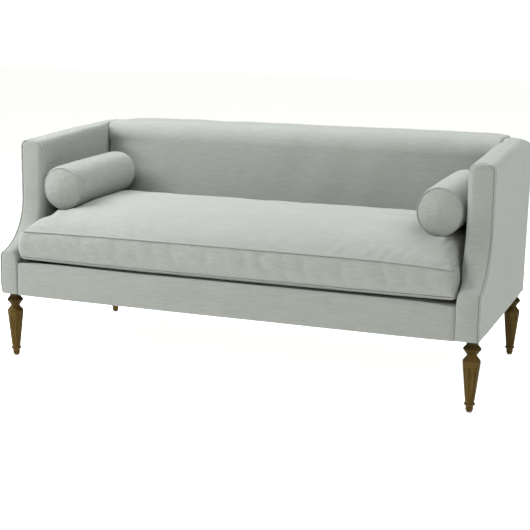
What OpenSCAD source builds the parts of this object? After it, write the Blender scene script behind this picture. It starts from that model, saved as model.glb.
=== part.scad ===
// Upholstered settee with scooped arm fronts, one bench cushion, two bolsters and reeded legs.
// X runs along the seat, the front faces -Y, Z is up, and the origin is on the floor at the centre.

/* [Overall] */
// Width over the outside arms
settee_w = 1680; // [1300:10:2100]
// Depth from the front border to the top of the outside back
settee_d = 860; // [800:5:960]
// Height of the back above the floor
back_h = 800; // [780:5:880]
// Height of the arm top at its front end
arm_h = 757; // [720:1:770]
// Height of the underside of the base above the floor
leg_h = 228; // [190:1:260]
// Height of the front border panel
border_h = 120; // [110:1:135]
// How far the top of the outside back lies behind its foot
back_lean = 20; // [0:1:35]

/* [Arms] */
// Thickness of an upholstered arm
arm_t = 88; // [82:1:110]
// How far the upper arm front stands behind the front border
arm_setback = 132; // [100:1:150]
// Height from the underside of the base to the foot of the scoop
arm_shoulder_h = 150; // [140:1:165]
// Height of the scoop in the arm front
scoop_h = 177; // [150:1:190]
// Thickness of the padding over the arm and back frames
top_pad_t = 34; // [32:1:40]
// Radius of the rolled edges along the arm top
arm_edge_r = 30; // [10:1:30]
// Width of the lower arm front beside the front border
arm_foot_w = 67; // [62:1:78]
// Thickness of the outside covers and their backing
cover_t = 6; // [4:0.5:8]

/* [Inside back] */
// Distance from the foot of the outside back to the inside back at the deck
back_depth = 242; // [220:1:270]
// Angle of the inside back from upright
back_pitch = 6; // [3:0.5:8]
// Radius of the soft roll along the top of the inside back
back_roll_r = 105; // [80:1:110]

/* [Seat cushion] */
// Height of the cushion border between its two seams
cushion_border_h = 88; // [70:1:100]
// Height of the crown above the top seam
crown_h = 90; // [60:1:100]
// Gap between the cushion and the arms and back
cushion_gap = 6; // [4:1:10]
// Swell of the cushion border
border_swell = 5; // [2:0.5:7]
// How far the cushion sides are drawn in between the corners
side_draw = 4; // [0:0.5:8]
// How far the seams dip towards the corners
seam_dip = 7; // [0:1:12]
// How far the front corners of the cushion spring out in front of the arms
corner_spring = 25; // [0:1:26]
// Radius of the seam piping
piping_r = 2; // [1.5:0.1:2.5]
// Thickness of the foam core
core_t = 64; // [50:1:66]
// Length of the zip in the rear border
zip_l = 640; // [400:10:900]

/* [Bolsters] */
// Diameter of a bolster at its middle
bolster_d = 156; // [130:1:165]
// Length of a bolster between its end seams
bolster_l = 412; // [350:1:440]
// Distance from the front border to the front seam of a bolster
bolster_setback = 136; // [110:1:150]
// Height of the domed bolster ends
bolster_dome = 11; // [6:1:16]
// Rise of a bolster towards the back
bolster_tilt = 2; // [0:0.5:3]
// Gap between a bolster and the arm
bolster_gap = 3; // [2:0.5:6]
// Diameter of the filling roll inside a bolster
bolster_core_d = 120; // [90:1:124]

/* [Legs] */
// Largest diameter of a leg
leg_d = 56; // [48:1:56]
// Diameter of the leg neck
leg_neck_d = 31; // [26:1:36]
// Diameter of the leg foot
leg_foot_d = 24; // [20:1:28]
// Distance from the leg centre to the outside arm
leg_side_inset = 28; // [28:1:34]
// Distance from the front leg centre to the front border
leg_front_inset = 31; // [29:1:36]
// Distance from the rear leg centre to the foot of the outside back
leg_rear_inset = 64; // [50:1:70]
// Number of reeds on a leg
reeds = 8; // [6:1:10]
// Thickness of the foot glides
glide_t = 4; // [3:0.5:6]

/* [Frame timber] */
// Height of the seat rails
rail_h = 100; // [85:1:105]
// Thickness of the seat rails and arm posts
rail_t = 32; // [28:1:34]
// Thickness of the top rails
top_rail_t = 31; // [25:1:36]
// Width of the upper part of an arm post
post_w = 62; // [50:1:80]
// Side of a leg block
block_w = 60; // [54:1:70]
// Thickness of the back ribs
rib_t = 30; // [22:1:34]

/* [Springs and webbing] */
// Number of seat springs
springs = 7; // [5:1:8]
// Distance between neighbouring bars of a spring
spring_pitch = 50; // [44:1:60]
// Radius of the spring wire
wire_r = 2; // [1.6:0.1:2.4]
// Number of webbing straps in the back
straps = 9; // [5:1:11]
// Width of a webbing strap
strap_w = 50; // [40:1:60]
// Thickness of a webbing strap
strap_t = 2; // [1:0.5:3]

/* [Leg fixings] */
// Radius of the hanger bolts
bolt_r = 4; // [3:0.5:5]
// Length of a hanger bolt
bolt_l = 84; // [70:1:95]
// Diameter of the steel leg plates
plate_d = 42; // [36:1:43]
// Thickness of the dust cover and leg plates
plate_t = 1.5; // [1:0.5:2]

/* [Hidden] */

// Clearances, and how far a cutting solid runs past what it cuts
fit = 0.3;
bore_fit = 0.2;
swing = 0.4;
past = 10;

// Planes of the whole settee
x_out = settee_w / 2;
x_in = x_out - arm_t;
x_foot = x_out - arm_foot_w;
y_front = -settee_d / 2;
y_back_top = settee_d / 2;
y_back_foot = y_back_top - back_lean;
z_base = leg_h;
z_border = z_base + border_h;

// Frame planes behind the covers
x_frame = x_out - cover_t;
x_frame_in = x_frame - rail_t;
y_frame = y_front + cover_t;
y_frame_back = y_back_foot - cover_t;
z_rail = z_base + plate_t;
z_rail_top = z_rail + rail_h;
brace_drop = 20;
z_brace_top = z_rail_top - brace_drop;

// Springs and deck
clip_t = 1.5;
z_wire = z_rail_top + clip_t + wire_r;
deck_edge_rise = 8;
deck_edge_w = 26;
z_deck_low = z_wire + wire_r + clip_t + bore_fit;
z_deck = z_border + deck_edge_rise;
spring_side_pitch = 2 * x_in / (springs + 0.5);
spring_run = y_frame_back - y_frame - rail_t;
spring_bars = floor(spring_run / spring_pitch) + 1;
// Rounded, so that the bars and bends of a spring meet without a step
spring_step = round(50 * spring_run / (spring_bars - 1)) / 50;
spring_bar_l = round(spring_step * 0.6);
spring_y0 = y_frame + rail_t / 2;
spring_y1 = spring_y0 + (spring_bars - 1) * spring_step;
clip_w = spring_bar_l * 0.55;
clip_margin = 2;

// Arm front: a straight foot, a round scoop and a straight upper front
y_upper = y_front + arm_setback;
z_scoop = z_base + arm_shoulder_h;
z_upper = z_scoop + scoop_h;
scoop_r = (arm_setback * arm_setback + scoop_h * scoop_h) / (2 * arm_setback);
arm_slope = atan((back_h - arm_h) / (y_back_top - y_upper));
outline_steps = 24;
round_steps = 10;
y_post_rear = y_upper + cover_t + post_w;

// Room in front of the arms for the corners of the cushion, which narrows towards the back
y_room_wide = y_front + arm_setback / 2;
y_room_end = y_upper - 2 * cover_t;

// Height of the arm top line at a depth
function z_arm(y) = arm_h + (y - y_upper) * tan(arm_slope);

// Inside back, whose frame passes under the padding of the arm tops
y_seat_back = y_back_foot - back_depth;
back_pad_foot_t = 60;
lower_rail_h = 44;
lower_rail_w = 30;
y_rib_foot = y_seat_back + back_pad_foot_t + lower_rail_w;
z_rib_bend = z_deck + lower_rail_h;
rib_lean = 72;
y_rib_top = y_rib_foot + rib_lean;
z_back_frame = z_arm(y_rib_top) - top_pad_t / cos(arm_slope);
z_rib_top = z_back_frame - top_rail_t;
// Inner ribs stand midway between two springs
rib_x = (springs % 2 == 1 ? 1.5 : 1) * spring_side_pitch;
z_roll = back_h - back_roll_r;
y_roll = y_seat_back + (z_roll - z_deck) * tan(back_pitch) + back_roll_r / cos(back_pitch);
rear_edge_r = 12;

// Seat cushion
cushion_x = x_in - cushion_gap;
cushion_y1 = y_seat_back - cushion_gap + 1;
seam_inset = 2 * piping_r + fit;
cushion_hx = cushion_x - seam_inset;
cushion_hy = (cushion_y1 - y_front) / 2 - seam_inset;
cushion_yc = (cushion_y1 + y_front) / 2;
seam_lift = 11;
z_cushion = z_deck + swing;
z_low_seam = z_cushion + seam_lift;
z_top_seam = z_low_seam + cushion_border_h;
z_border_mid = (z_low_seam + z_top_seam) / 2;
crown_peak = 0.25;
cells_x = 30;
cells_y = 14;
ring_n = 2 * (cells_x + cells_y);
core_inset = 70;
corner_soft = 6;
spring_power = 6;
end_power = 14;
front_power = 3.5;
rear_power = 8;
edge_share = 0.25;
zip_h = 14;
zip_t = 1.2;
cord_sides = 6;
seam_slant = 0.35;

// Bolsters
bolster_r = bolster_d / 2;
bolster_x = x_in - bolster_gap - bolster_r;
bolster_y0 = y_front + bolster_setback;
bolster_yc = bolster_y0 + bolster_l / 2;
bolster_sink = 2;
bolster_room = 60;
bolster_fullness = 3;
bolster_end_r = bolster_r - bolster_fullness;
seam_step = 2;
bolster_steps = 8;
bolster_cord_r = 1.7;
bolster_cord_reach = 1.3;
core_margin = 10;
bolster_core_l = bolster_l - 2 * core_margin;

// Legs
leg_x = x_out - leg_side_inset;
leg_y_front = y_front + leg_front_inset;
leg_y_rear = y_back_foot - leg_rear_inset;
leg_places = [[-leg_x, leg_y_front], [leg_x, leg_y_front], [-leg_x, leg_y_rear], [leg_x, leg_y_rear]];
rear_block_d = leg_rear_inset + block_w / 2;
leg_r = leg_d / 2;
neck_r = leg_neck_d / 2;
foot_r = leg_foot_d / 2;
ankle_r = foot_r + 5.5;
shaft_low_r = foot_r + 2.5;
shaft_top_r = leg_r - 1;
leg_top_r = neck_r + 3;
foot_bevel = 3;
ankle_bead = 4;
shoulder_bead = 8;
neck_hollow = 5;
ring_bead = 5;
leg_top_h = 13;
z_foot_top = 20;
z_ankle = 27;
z_shaft_low = 33;
z_shaft_top = z_base - 78;
z_shoulder = z_base - 66;
z_neck = z_base - 46;
z_ring = z_base - 26;
groove_low_r = 1.7;
groove_top_r = 2.8;
groove_low_end = 5;
groove_top_end = 4;
nail_r = 1.5;
nail_l = 10;
bore_end = 2;
bolt_room = 6;

fabric = "#b4bab1";
timber = "#c7a77a";
leg_wood = "#6b4f28";
steel = "#a3a4a2";
foam = "#ddd5bd";
black_cloth = "#33322f";

function arc(cx, cy, r, a0, a1, n) =
    [for (i = [0 : n]) let (a = a0 + (a1 - a0) * i / n) [cx + r * cos(a), cy + r * sin(a)]];

// Rear line of the settee at a height: upright over the base, then leaning
function y_rear(z) = z < z_border ? y_back_foot
    : y_back_foot + back_lean * (z - z_border) / (back_h - z_border);

// Front edge of the arm in a plane across X, drawn in by t, from the base to height z_end
function arm_edge(t, z_start, z_end) = let (
        r = scoop_r + t,
        yc = y_upper - scoop_r,
        a0 = -acos((y_front + t - yc) / r)
    ) concat([[y_front + t, z_start]], arc(yc, z_upper, r, a0, 0, outline_steps), [[y_upper + t, z_end]]);

// Extrudes a Y-Z outline along X from x0 to x1
module across_x(x0, x1) {
    translate([x0, 0, 0]) rotate([90, 0, 90]) linear_extrude(x1 - x0) children();
}

// Extrudes an X-Z outline along Y from y0 to y1
module along_y(y0, y1) {
    translate([0, y1, 0]) rotate([90, 0, 0]) linear_extrude(y1 - y0) children();
}

// Draws its children on the right, or mirrored on the left
module on_side(side) {
    if (side < 0) mirror([1, 0, 0]) children();
    else children();
}

// A box given by its lowest and highest corners
module block(low, high) {
    translate(low) cube(high - low);
}

// Seat frame

module front_rail() {
    color(timber)
        block([-x_frame + block_w, y_frame, z_rail], [x_frame - block_w, y_frame + rail_t, z_rail_top]);
}

module rear_rail() {
    color(timber)
        block([-x_frame + block_w, y_frame_back - rail_t, z_rail],
            [x_frame - block_w, y_frame_back, z_rail_top]);
}

module side_rail(side) {
    color(timber) on_side(side)
        block([x_frame_in, y_frame + block_w, z_rail], [x_frame, y_frame_back - rear_block_d, z_rail_top]);
}

module centre_brace() {
    color(timber)
        block([-rail_t / 2, y_frame + rail_t, z_rail],
            [rail_t / 2, y_frame_back - rail_t, z_brace_top]);
}

// Corner block that takes a leg bolt
module leg_block(side, y0, y1, leg_y) {
    color(timber) on_side(side) difference() {
        block([x_frame - block_w, y0, z_rail], [x_frame, y1, z_rail_top]);
        translate([leg_x, leg_y, z_rail - 1])
            cylinder(h = bolt_l / 2 + bolt_room, r = bolt_r + bore_fit, $fn = 32);
    }
}

module leg_block_front(side) {
    leg_block(side, y_frame, y_frame + block_w, leg_y_front);
}

module leg_block_rear(side) {
    leg_block(side, y_frame_back - rear_block_d, y_frame_back, leg_y_rear);
}

// Arm frame

// Board sawn to the scooped arm front
module arm_post(side) {
    color(timber) on_side(side) difference() {
        across_x(x_frame_in, x_frame) polygon(concat(
            arm_edge(cover_t, z_rail_top, arm_h),
            [[y_post_rear, z_arm(y_post_rear)], [y_post_rear, z_rail_top]]));
        arm_top_space(top_pad_t + top_rail_t);
    }
}

// Everything above a plane that lies a depth below the arm top
module arm_top_space(depth) {
    translate([0, y_upper, arm_h]) rotate([arm_slope, 0, 0])
        block([x_in - past, -settee_d, -depth], [x_out + past, 2 * settee_d, settee_d]);
}

// Rail along the sloping arm top, over the arm post and the back post
module arm_top_rail(side) {
    color(timber) on_side(side) intersection() {
        translate([0, y_upper, arm_h]) rotate([arm_slope, 0, 0])
            block([x_frame_in, -settee_d, -top_pad_t - top_rail_t], [x_frame, 2 * settee_d, -top_pad_t]);
        across_x(x_frame_in - 1, x_frame + 1) polygon([
            [y_upper + cover_t, z_border], [y_frame_back, z_border],
            [y_rear(back_h) - cover_t, back_h], [y_upper + cover_t, back_h]]);
    }
}

module arm_lower_rail(side) {
    color(timber) on_side(side)
        block([x_frame_in, y_post_rear, z_deck], [x_frame, y_frame_back - post_w, z_rib_bend]);
}

module back_post(side) {
    color(timber) on_side(side) difference() {
        across_x(x_frame_in, x_frame) polygon([
            [y_frame_back - post_w, z_rail_top], [y_frame_back, z_rail_top], [y_frame_back, z_border],
            [y_rear(back_h) - cover_t, back_h], [y_frame_back - post_w, back_h]]);
        arm_top_space(top_pad_t + top_rail_t);
    }
}

// Back frame

module back_top_rail() {
    color(timber) across_x(-x_frame_in, x_frame_in) polygon([
        [y_rib_top, z_rib_top], [y_rear(z_rib_top) - cover_t, z_rib_top],
        [y_rear(z_back_frame) - cover_t, z_back_frame], [y_rib_top, z_back_frame]]);
}

module back_lower_rail() {
    color(timber)
        block([-x_in, y_rib_foot - lower_rail_w, z_deck], [x_in, y_rib_foot, z_rib_bend]);
}

// Upright board whose front edge gives the slant of the inside back
module back_rib(x0) {
    color(timber) across_x(x0, x0 + rib_t) polygon([
        [y_rib_foot, z_deck], [y_frame_back - rail_t, z_deck], [y_frame_back - rail_t, z_rail_top],
        [y_frame_back, z_rail_top], [y_frame_back, z_border],
        [y_rear(z_rib_top) - cover_t, z_rib_top], [y_rib_top, z_rib_top],
        [y_rib_foot, z_rib_bend]]);
}

// Springs and webbing

// Centre lines of the springs along X
function spring_x(i) = (i - (springs - 1) / 2) * spring_side_pitch;

module spring_bend(r) {
    rotate([0, 0, -90]) rotate_extrude(angle = 180, $fn = 48) translate([r, 0]) circle(r = wire_r, $fn = 24);
}

// One serpentine wire from the front rail to the rear rail
module spring() {
    for (i = [0 : spring_bars - 1]) {
        translate([-spring_bar_l / 2, i * spring_step, 0])
            rotate([0, 90, 0]) cylinder(h = spring_bar_l, r = wire_r, $fn = 24);
        if (i < spring_bars - 1)
            translate([(i % 2 == 0 ? 1 : -1) * spring_bar_l / 2, (i + 0.5) * spring_step, 0])
                mirror([i % 2, 0, 0]) spring_bend(spring_step / 2);
    }
}

module seat_springs() {
    color(steel) for (i = [0 : springs - 1])
        translate([spring_x(i), spring_y0, z_wire]) spring();
}

// Steel clip that holds the end bar of a spring on its rail
module spring_clip() {
    half = wire_r + clip_t;
    foot = rail_t / 2 - clip_margin;
    difference() {
        union() {
            block([-clip_w / 2, -half, -half], [clip_w / 2, half, half]);
            block([-clip_w / 2, -foot, -half], [clip_w / 2, foot, -wire_r]);
        }
        translate([-clip_w, 0, 0]) rotate([0, 90, 0])
            cylinder(h = 2 * clip_w, r = wire_r + bore_fit, $fn = 24);
    }
}

module spring_clips() {
    color(steel) for (i = [0 : springs - 1])
        for (y = [spring_y0, spring_y1])
            translate([spring_x(i), y, z_wire]) spring_clip();
}

module back_webbing() {
    step = 2 * x_in / straps;
    color(black_cloth) for (i = [0 : straps - 1])
        across_x((i + 0.5) * step - x_in - strap_w / 2, (i + 0.5) * step - x_in + strap_w / 2)
            polygon([
                [y_rib_foot - strap_t, z_rib_bend], [y_rib_foot, z_rib_bend],
                [y_rib_top, z_rib_top], [y_rib_top - strap_t, z_rib_top]]);
}

// Thin cloth under the frame, open around the leg plates
module dust_cover() {
    color(black_cloth) difference() {
        block([-x_frame, y_frame, z_base], [x_frame, y_frame_back, z_rail]);
        for (p = leg_places)
            translate([p[0], p[1], z_base - 1]) cylinder(h = plate_t + 2, r = plate_d / 2 + fit, $fn = 48);
    }
}

// Upholstery

// Space in front of an arm that its padding leaves to the deck and the corner of the cushion
module corner_room(side) {
    on_side(side) translate([0, 0, z_deck_low]) linear_extrude(back_h) polygon([
        [x_in - past, y_front - past], [x_foot, y_front - past], [x_foot, y_room_wide],
        [x_in, y_room_end], [x_in - past, y_room_end]]);
}

module deck_profile() {
    polygon([
        [y_frame, z_deck_low], [y_rib_foot, z_deck_low], [y_rib_foot, z_deck],
        [y_frame + deck_edge_w, z_deck], [y_frame, z_border]]);
}

// Padded platform under the cushion with a sloped front edge, wider in front of the arms
module seat_deck() {
    color(fabric) {
        across_x(-x_in, x_in) deck_profile();
        for (side = [-1, 1]) intersection() {
            across_x(-x_foot, x_foot) deck_profile();
            corner_room(side);
        }
    }
}

module front_border() {
    color(fabric)
        block([-x_foot, y_front, z_base], [x_foot, y_frame, z_border]);
}

// Section of the arm across X, with rolled top edges, as a bar along the slope
module arm_section() {
    translate([0, y_upper, arm_h]) rotate([arm_slope, 0, 0]) {
        block([x_in, -settee_d, -settee_d], [x_out, settee_d, -arm_edge_r]);
        block([x_in + arm_edge_r, -settee_d, -settee_d], [x_out - arm_edge_r, settee_d, 0]);
        for (x = [x_in + arm_edge_r, x_out - arm_edge_r])
            translate([x, -settee_d, -arm_edge_r]) rotate([-90, 0, 0])
                cylinder(h = 2 * settee_d, r = arm_edge_r, $fn = 64);
    }
}

// Outline of an arm facing seen from the front, stepped down where the welt crosses its top
function facing_outline() = let (
        x_round = x_in + arm_edge_r,
        z_round = arm_h - arm_edge_r
    ) concat(
        [[x_foot, z_base], [x_frame, z_base]],
        arc(x_out - arm_edge_r, z_round, arm_edge_r - cover_t, 0, 90, round_steps),
        [[x_round, arm_h - cover_t]],
        arc(x_round, z_round, arm_edge_r, 90, 180, round_steps),
        [[x_in, z_border], [x_foot, z_border]]);

// Covered facing of the arm front, following the scoop
module arm_front(side) {
    edge = arm_edge(0, z_base, arm_h);
    back_edge = arm_edge(cover_t, z_base, arm_h);
    strip = concat(edge, [for (i = [len(back_edge) - 1 : -1 : 0]) back_edge[i]]);
    color(fabric) difference() {
        on_side(side) intersection() {
            across_x(x_in, x_frame) polygon(strip);
            along_y(y_front - 1, y_upper + cover_t + 1) polygon(facing_outline());
        }
        corner_room(side);
    }
}

// Piping up the outer edge of an arm front and over its top
module arm_welt(side) {
    r = cover_t / 2;
    x = x_out - r;
    yc = y_upper - scoop_r;
    ring = scoop_r + r;
    a = acos((y_front + r - yc) / ring);
    z_turn = z_upper - ring * sin(a);
    bend = arm_edge_r - r;
    color(fabric) on_side(side) {
        translate([x, y_front + r, z_base]) cylinder(h = z_turn - z_base, r = r, $fn = 32);
        translate([x, y_front + r, z_turn]) sphere(r = r, $fn = 32);
        translate([x, yc, z_upper]) rotate([0, -90, 0]) rotate([0, 0, 90])
            rotate_extrude(angle = a, $fn = 96) translate([ring, 0]) circle(r = r, $fn = 32);
        translate([x, y_upper + r, z_upper])
            cylinder(h = arm_h - arm_edge_r - z_upper, r = r, $fn = 32);
        translate([x_out - arm_edge_r, y_upper + r, arm_h - arm_edge_r]) rotate([90, 0, 0])
            rotate_extrude(angle = 90, $fn = 64) translate([bend, 0]) circle(r = r, $fn = 32);
        translate([x_in + arm_edge_r, y_upper + r, arm_h - r]) rotate([0, 90, 0])
            cylinder(h = arm_t - 2 * arm_edge_r, r = r, $fn = 32);
    }
}

// Padding and cover of the inner side and the top of an arm
module inside_arm(side) {
    color(fabric) on_side(side) intersection() {
        arm_section();
        difference() {
            across_x(x_in, x_out) polygon(concat(
                arm_edge(cover_t, z_deck_low, back_h + past),
                [[y_back_top, back_h + past], [y_back_top, back_h],
                    [y_back_foot, z_border], [y_back_foot, z_deck_low]]));
            difference() {
                union() {
                    block([x_frame_in, y_front, z_base], [x_out + past, y_back_top + past, back_h + past]);
                    block([x_in - past, y_rib_foot, z_base],
                        [x_frame_in + past, y_back_top + past, back_h + past]);
                }
                arm_top_space(top_pad_t);
            }
            corner_room(1);
        }
    }
}

// Cover and backing of the outer side of an arm
module outside_arm(side) {
    color(fabric) on_side(side) difference() {
        across_x(x_frame, x_out) polygon(concat(
            arm_edge(cover_t, z_base, arm_h),
            [[y_rear(back_h), back_h], [y_back_foot, z_border], [y_back_foot, z_base]]));
        arm_top_space(top_pad_t);
    }
}

// Padding and cover of the inside back, rolled over the top rail and cut out for the back frame
module inside_back() {
    slant_y = y_roll - back_roll_r * cos(back_pitch);
    slant_z = z_roll + back_roll_r * sin(back_pitch);
    z_edge = back_h - rear_edge_r;
    beyond = y_back_top + rear_edge_r;
    color(fabric) difference() {
        union() {
            across_x(-x_in, x_in) polygon([
                [y_seat_back, z_deck], [y_rear(z_deck), z_deck], [y_rear(z_edge), z_edge],
                [y_rear(z_edge) - rear_edge_r, back_h], [y_roll, back_h], [y_roll, z_roll],
                [slant_y, slant_z]]);
            translate([-x_in, y_roll, z_roll]) rotate([0, 90, 0])
                cylinder(h = 2 * x_in, r = back_roll_r, $fn = 96);
        }
        across_x(-x_out, x_out) polygon([
            [y_rib_foot - lower_rail_w, z_base], [y_rib_foot - lower_rail_w, z_rib_bend],
            [y_rib_foot - strap_t, z_rib_bend], [y_rib_top - strap_t, z_rib_top], [y_rib_top, z_rib_top],
            [y_rib_top, z_back_frame], [beyond, z_back_frame], [beyond, z_base]]);
    }
}

module outside_back() {
    color(fabric) across_x(-x_frame, x_frame) polygon([
        [y_back_foot, z_base], [y_back_foot, z_border], [y_rear(z_back_frame), z_back_frame],
        [y_rear(z_back_frame) - cover_t, z_back_frame], [y_frame_back, z_border], [y_frame_back, z_base]]);
}

// Seat cushion. u and v run from -1 to 1 across and along the seat.

function grid_u(i) = sin(90 * (2 * i / cells_x - 1));
function grid_v(j) = sin(90 * (2 * j / cells_y - 1));

// Share of the full crown across the seat and from front to back
function crown_across(u) = 1 - pow(abs(u), end_power);
function crown_along(v) = v < crown_peak ? 1 - pow((crown_peak - v) / (1 + crown_peak), front_power)
    : 1 - pow((v - crown_peak) / (1 - crown_peak), rear_power);

// Share of the full spring of the front corners, none where the cushion lies between the arms
function spring_share(v) = max(0, min(1,
    (y_room_end - cushion_yc - cushion_hy * v) / (y_room_end - y_room_wide)));

// Plan of the cushion seams, drawn in along the sides and softened at the corners
function corner_cut(u, v) = corner_soft * pow(abs(u), 8) * pow(abs(v), 8);
function plan_x(u, v) = (cushion_hx - side_draw * (1 - v * v) * abs(u)) * u
    + sign(u) * (corner_spring * spring_share(v) * pow(abs(u), spring_power) - corner_cut(u, v));
function plan_y(u, v) = cushion_yc + (cushion_hy - side_draw * (1 - u * u) * abs(v)) * v
    - sign(v) * corner_cut(u, v);

// Swell of the border at a share of its height
function border_bulge(t) = border_swell * min(sin(180 * t), sin(60));

function edge_dip(u) = seam_dip * pow(abs(u), 6);
function edge_rise(u, v) = seam_lift * pow(max(0, 1 - (1 - max(abs(u), abs(v))) / edge_share), 2);

function top_point(u, v) = [plan_x(u, v), plan_y(u, v),
    z_top_seam - edge_dip(u) * pow(abs(v), 2) + crown_h * crown_across(u) * crown_along(v)];
function low_point(u, v) = [plan_x(u, v), plan_y(u, v), z_cushion + edge_rise(u, v)];

// Walks once round the edge of the grid from the front left corner
function ring_uv(k) = k < cells_x ? [grid_u(k), -1]
    : k < cells_x + cells_y ? [1, grid_v(k - cells_x)]
    : k < 2 * cells_x + cells_y ? [grid_u(2 * cells_x + cells_y - k), 1]
    : [-1, grid_v(ring_n - k)];

// Level direction that points away from the cushion at a place on its edge
function outward(uv) = let (
        o = [sign(uv[0]) * pow(abs(uv[0]), 20), sign(uv[1]) * pow(abs(uv[1]), 20)]
    ) o / norm(o);

function grid_id(i, j) = i + j * (cells_x + 1);
function ring_id(k) = k < cells_x ? grid_id(k, 0)
    : k < cells_x + cells_y ? grid_id(cells_x, k - cells_x)
    : k < 2 * cells_x + cells_y ? grid_id(2 * cells_x + cells_y - k, cells_y)
    : grid_id(0, ring_n - k);

module cushion_form() {
    grid_n = (cells_x + 1) * (cells_y + 1);
    rows = 3;
    top = [for (j = [0 : cells_y]) for (i = [0 : cells_x]) top_point(grid_u(i), grid_v(j))];
    low = [for (j = [0 : cells_y]) for (i = [0 : cells_x]) low_point(grid_u(i), grid_v(j))];
    side = [for (row = [1 : rows - 1]) for (k = [0 : ring_n - 1]) let (
            uv = ring_uv(k),
            t = row / rows,
            o = outward(uv) * border_bulge(t)
        ) top_point(uv[0], uv[1]) * (1 - t) + low_point(uv[0], uv[1]) * t + [o[0], o[1], 0]];
    function row_id(row, k) = row == 0 ? ring_id(k % ring_n)
        : row == rows ? grid_n + ring_id(k % ring_n)
        : 2 * grid_n + (row - 1) * ring_n + k % ring_n;
    faces = concat(
        [for (j = [0 : cells_y - 1]) for (i = [0 : cells_x - 1]) let (
                a = grid_id(i, j), b = grid_id(i, j + 1), c = grid_id(i + 1, j + 1), d = grid_id(i + 1, j)
            ) each [[a, b, c], [a, c, d]]],
        [for (j = [0 : cells_y - 1]) for (i = [0 : cells_x - 1]) let (
                a = grid_id(i, j), b = grid_id(i, j + 1), c = grid_id(i + 1, j + 1), d = grid_id(i + 1, j),
                n = [grid_n, grid_n, grid_n]
            ) each [[a, c, b] + n, [a, d, c] + n]],
        [for (row = [0 : rows - 1]) for (k = [0 : ring_n - 1]) let (
                a = row_id(row, k), b = row_id(row, k + 1), c = row_id(row + 1, k + 1), d = row_id(row + 1, k)
            ) each [[a, b, c], [a, c, d]]]);
    polyhedron(points = concat(top, low, side), faces = faces, convexity = 4);
}

// Foam core space, grown by a clearance
module core_space(grow) {
    half = [cushion_hx - core_inset, cushion_hy - core_inset, core_t / 2] + grow * [1, 1, 1];
    middle = [0, cushion_yc, z_border_mid];
    block(middle - half, middle + half);
}

// Cover and feather wrap, hollow for the core and dented under the bolsters
module cushion_cover() {
    color(fabric) difference() {
        cushion_form();
        core_space(fit);
        for (side = [-1, 1])
            on_side(side) bolster_place() rotate([90, 0, 0])
                cylinder(h = bolster_l + bolster_room, r = bolster_r + swing, center = true, $fn = 64);
    }
}

module cushion_core() {
    color(foam) core_space(0);
}

// Corded piping along a seam of the cushion
module seam_tube(low) {
    reach = piping_r + bore_fit;
    rise = low ? -seam_slant : seam_slant;
    points = [for (k = [0 : ring_n - 1]) for (s = [0 : cord_sides - 1]) let (
            uv = ring_uv(k),
            o = outward(uv),
            a = 360 * s / cord_sides,
            edge = low ? low_point(uv[0], uv[1]) : top_point(uv[0], uv[1]),
            c = edge + reach * [o[0], o[1], rise]
        ) c + piping_r * [o[0] * cos(a), o[1] * cos(a), sin(a)]];
    function tube_id(k, s) = (k % ring_n) * cord_sides + s % cord_sides;
    faces = [for (k = [0 : ring_n - 1]) for (s = [0 : cord_sides - 1]) let (
            a = tube_id(k, s), b = tube_id(k, s + 1), c = tube_id(k + 1, s + 1), d = tube_id(k + 1, s)
        ) each [[a, c, d], [a, b, c]]];
    polyhedron(points = points, faces = faces, convexity = 4);
}

module cushion_piping() {
    color(fabric) {
        seam_tube(false);
        seam_tube(true);
    }
}

// Zip tape on the rear border, which meets the curved border near its ends
module cushion_zip() {
    y0 = plan_y(zip_l / 2 / cushion_hx, 1) + border_bulge(0.5) + fit;
    color(fabric)
        block([-zip_l / 2, y0, z_border_mid - zip_h / 2], [zip_l / 2, y0 + zip_t, z_border_mid + zip_h / 2]);
}

// Bolsters

// Moves a shape on the Y axis to the right bolster
module bolster_place() {
    z = z_top_seam + crown_h * crown_across(bolster_x / cushion_hx) - bolster_sink + bolster_r;
    translate([bolster_x, bolster_yc, z]) rotate([bolster_tilt, 0, 0]) children();
}

// Half outline of a bolster: domed ends and a slightly full middle
function bolster_outline() = let (
        half = bolster_l / 2,
        dome_r = bolster_end_r - seam_step,
        n = bolster_steps
    ) concat(
        [for (i = [0 : n]) let (t = i / n) [dome_r * t, -half - bolster_dome * (1 - t * t)]],
        [for (i = [0 : n]) let (t = 2 * i / n - 1)
            [bolster_end_r + bolster_fullness * (1 - t * t), half * t]],
        [for (i = [0 : n]) let (t = 1 - i / n) [dome_r * t, half + bolster_dome * (1 - t * t)]]);

// Filling roll of a bolster, grown by a clearance
module bolster_roll(grow) {
    cylinder(h = bolster_core_l + 2 * grow, r = bolster_core_d / 2 + grow, center = true, $fn = 64);
}

module bolster_cover(side) {
    color(fabric) on_side(side) bolster_place() rotate([-90, 0, 0]) difference() {
        rotate_extrude($fn = 72) polygon(bolster_outline());
        bolster_roll(fit);
    }
}

module bolster_core(side) {
    color(foam) on_side(side) bolster_place() rotate([-90, 0, 0]) bolster_roll(0);
}

// Corded piping round both ends of a bolster
module bolster_piping(side) {
    color(fabric) on_side(side) bolster_place() rotate([-90, 0, 0])
        for (end = [-1, 1])
            translate([0, 0, end * (bolster_l / 2 + bolster_cord_reach)])
                rotate_extrude($fn = 72) translate([bolster_end_r + bolster_cord_reach, 0])
                    circle(r = bolster_cord_r, $fn = 24);
}

// Legs

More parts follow.
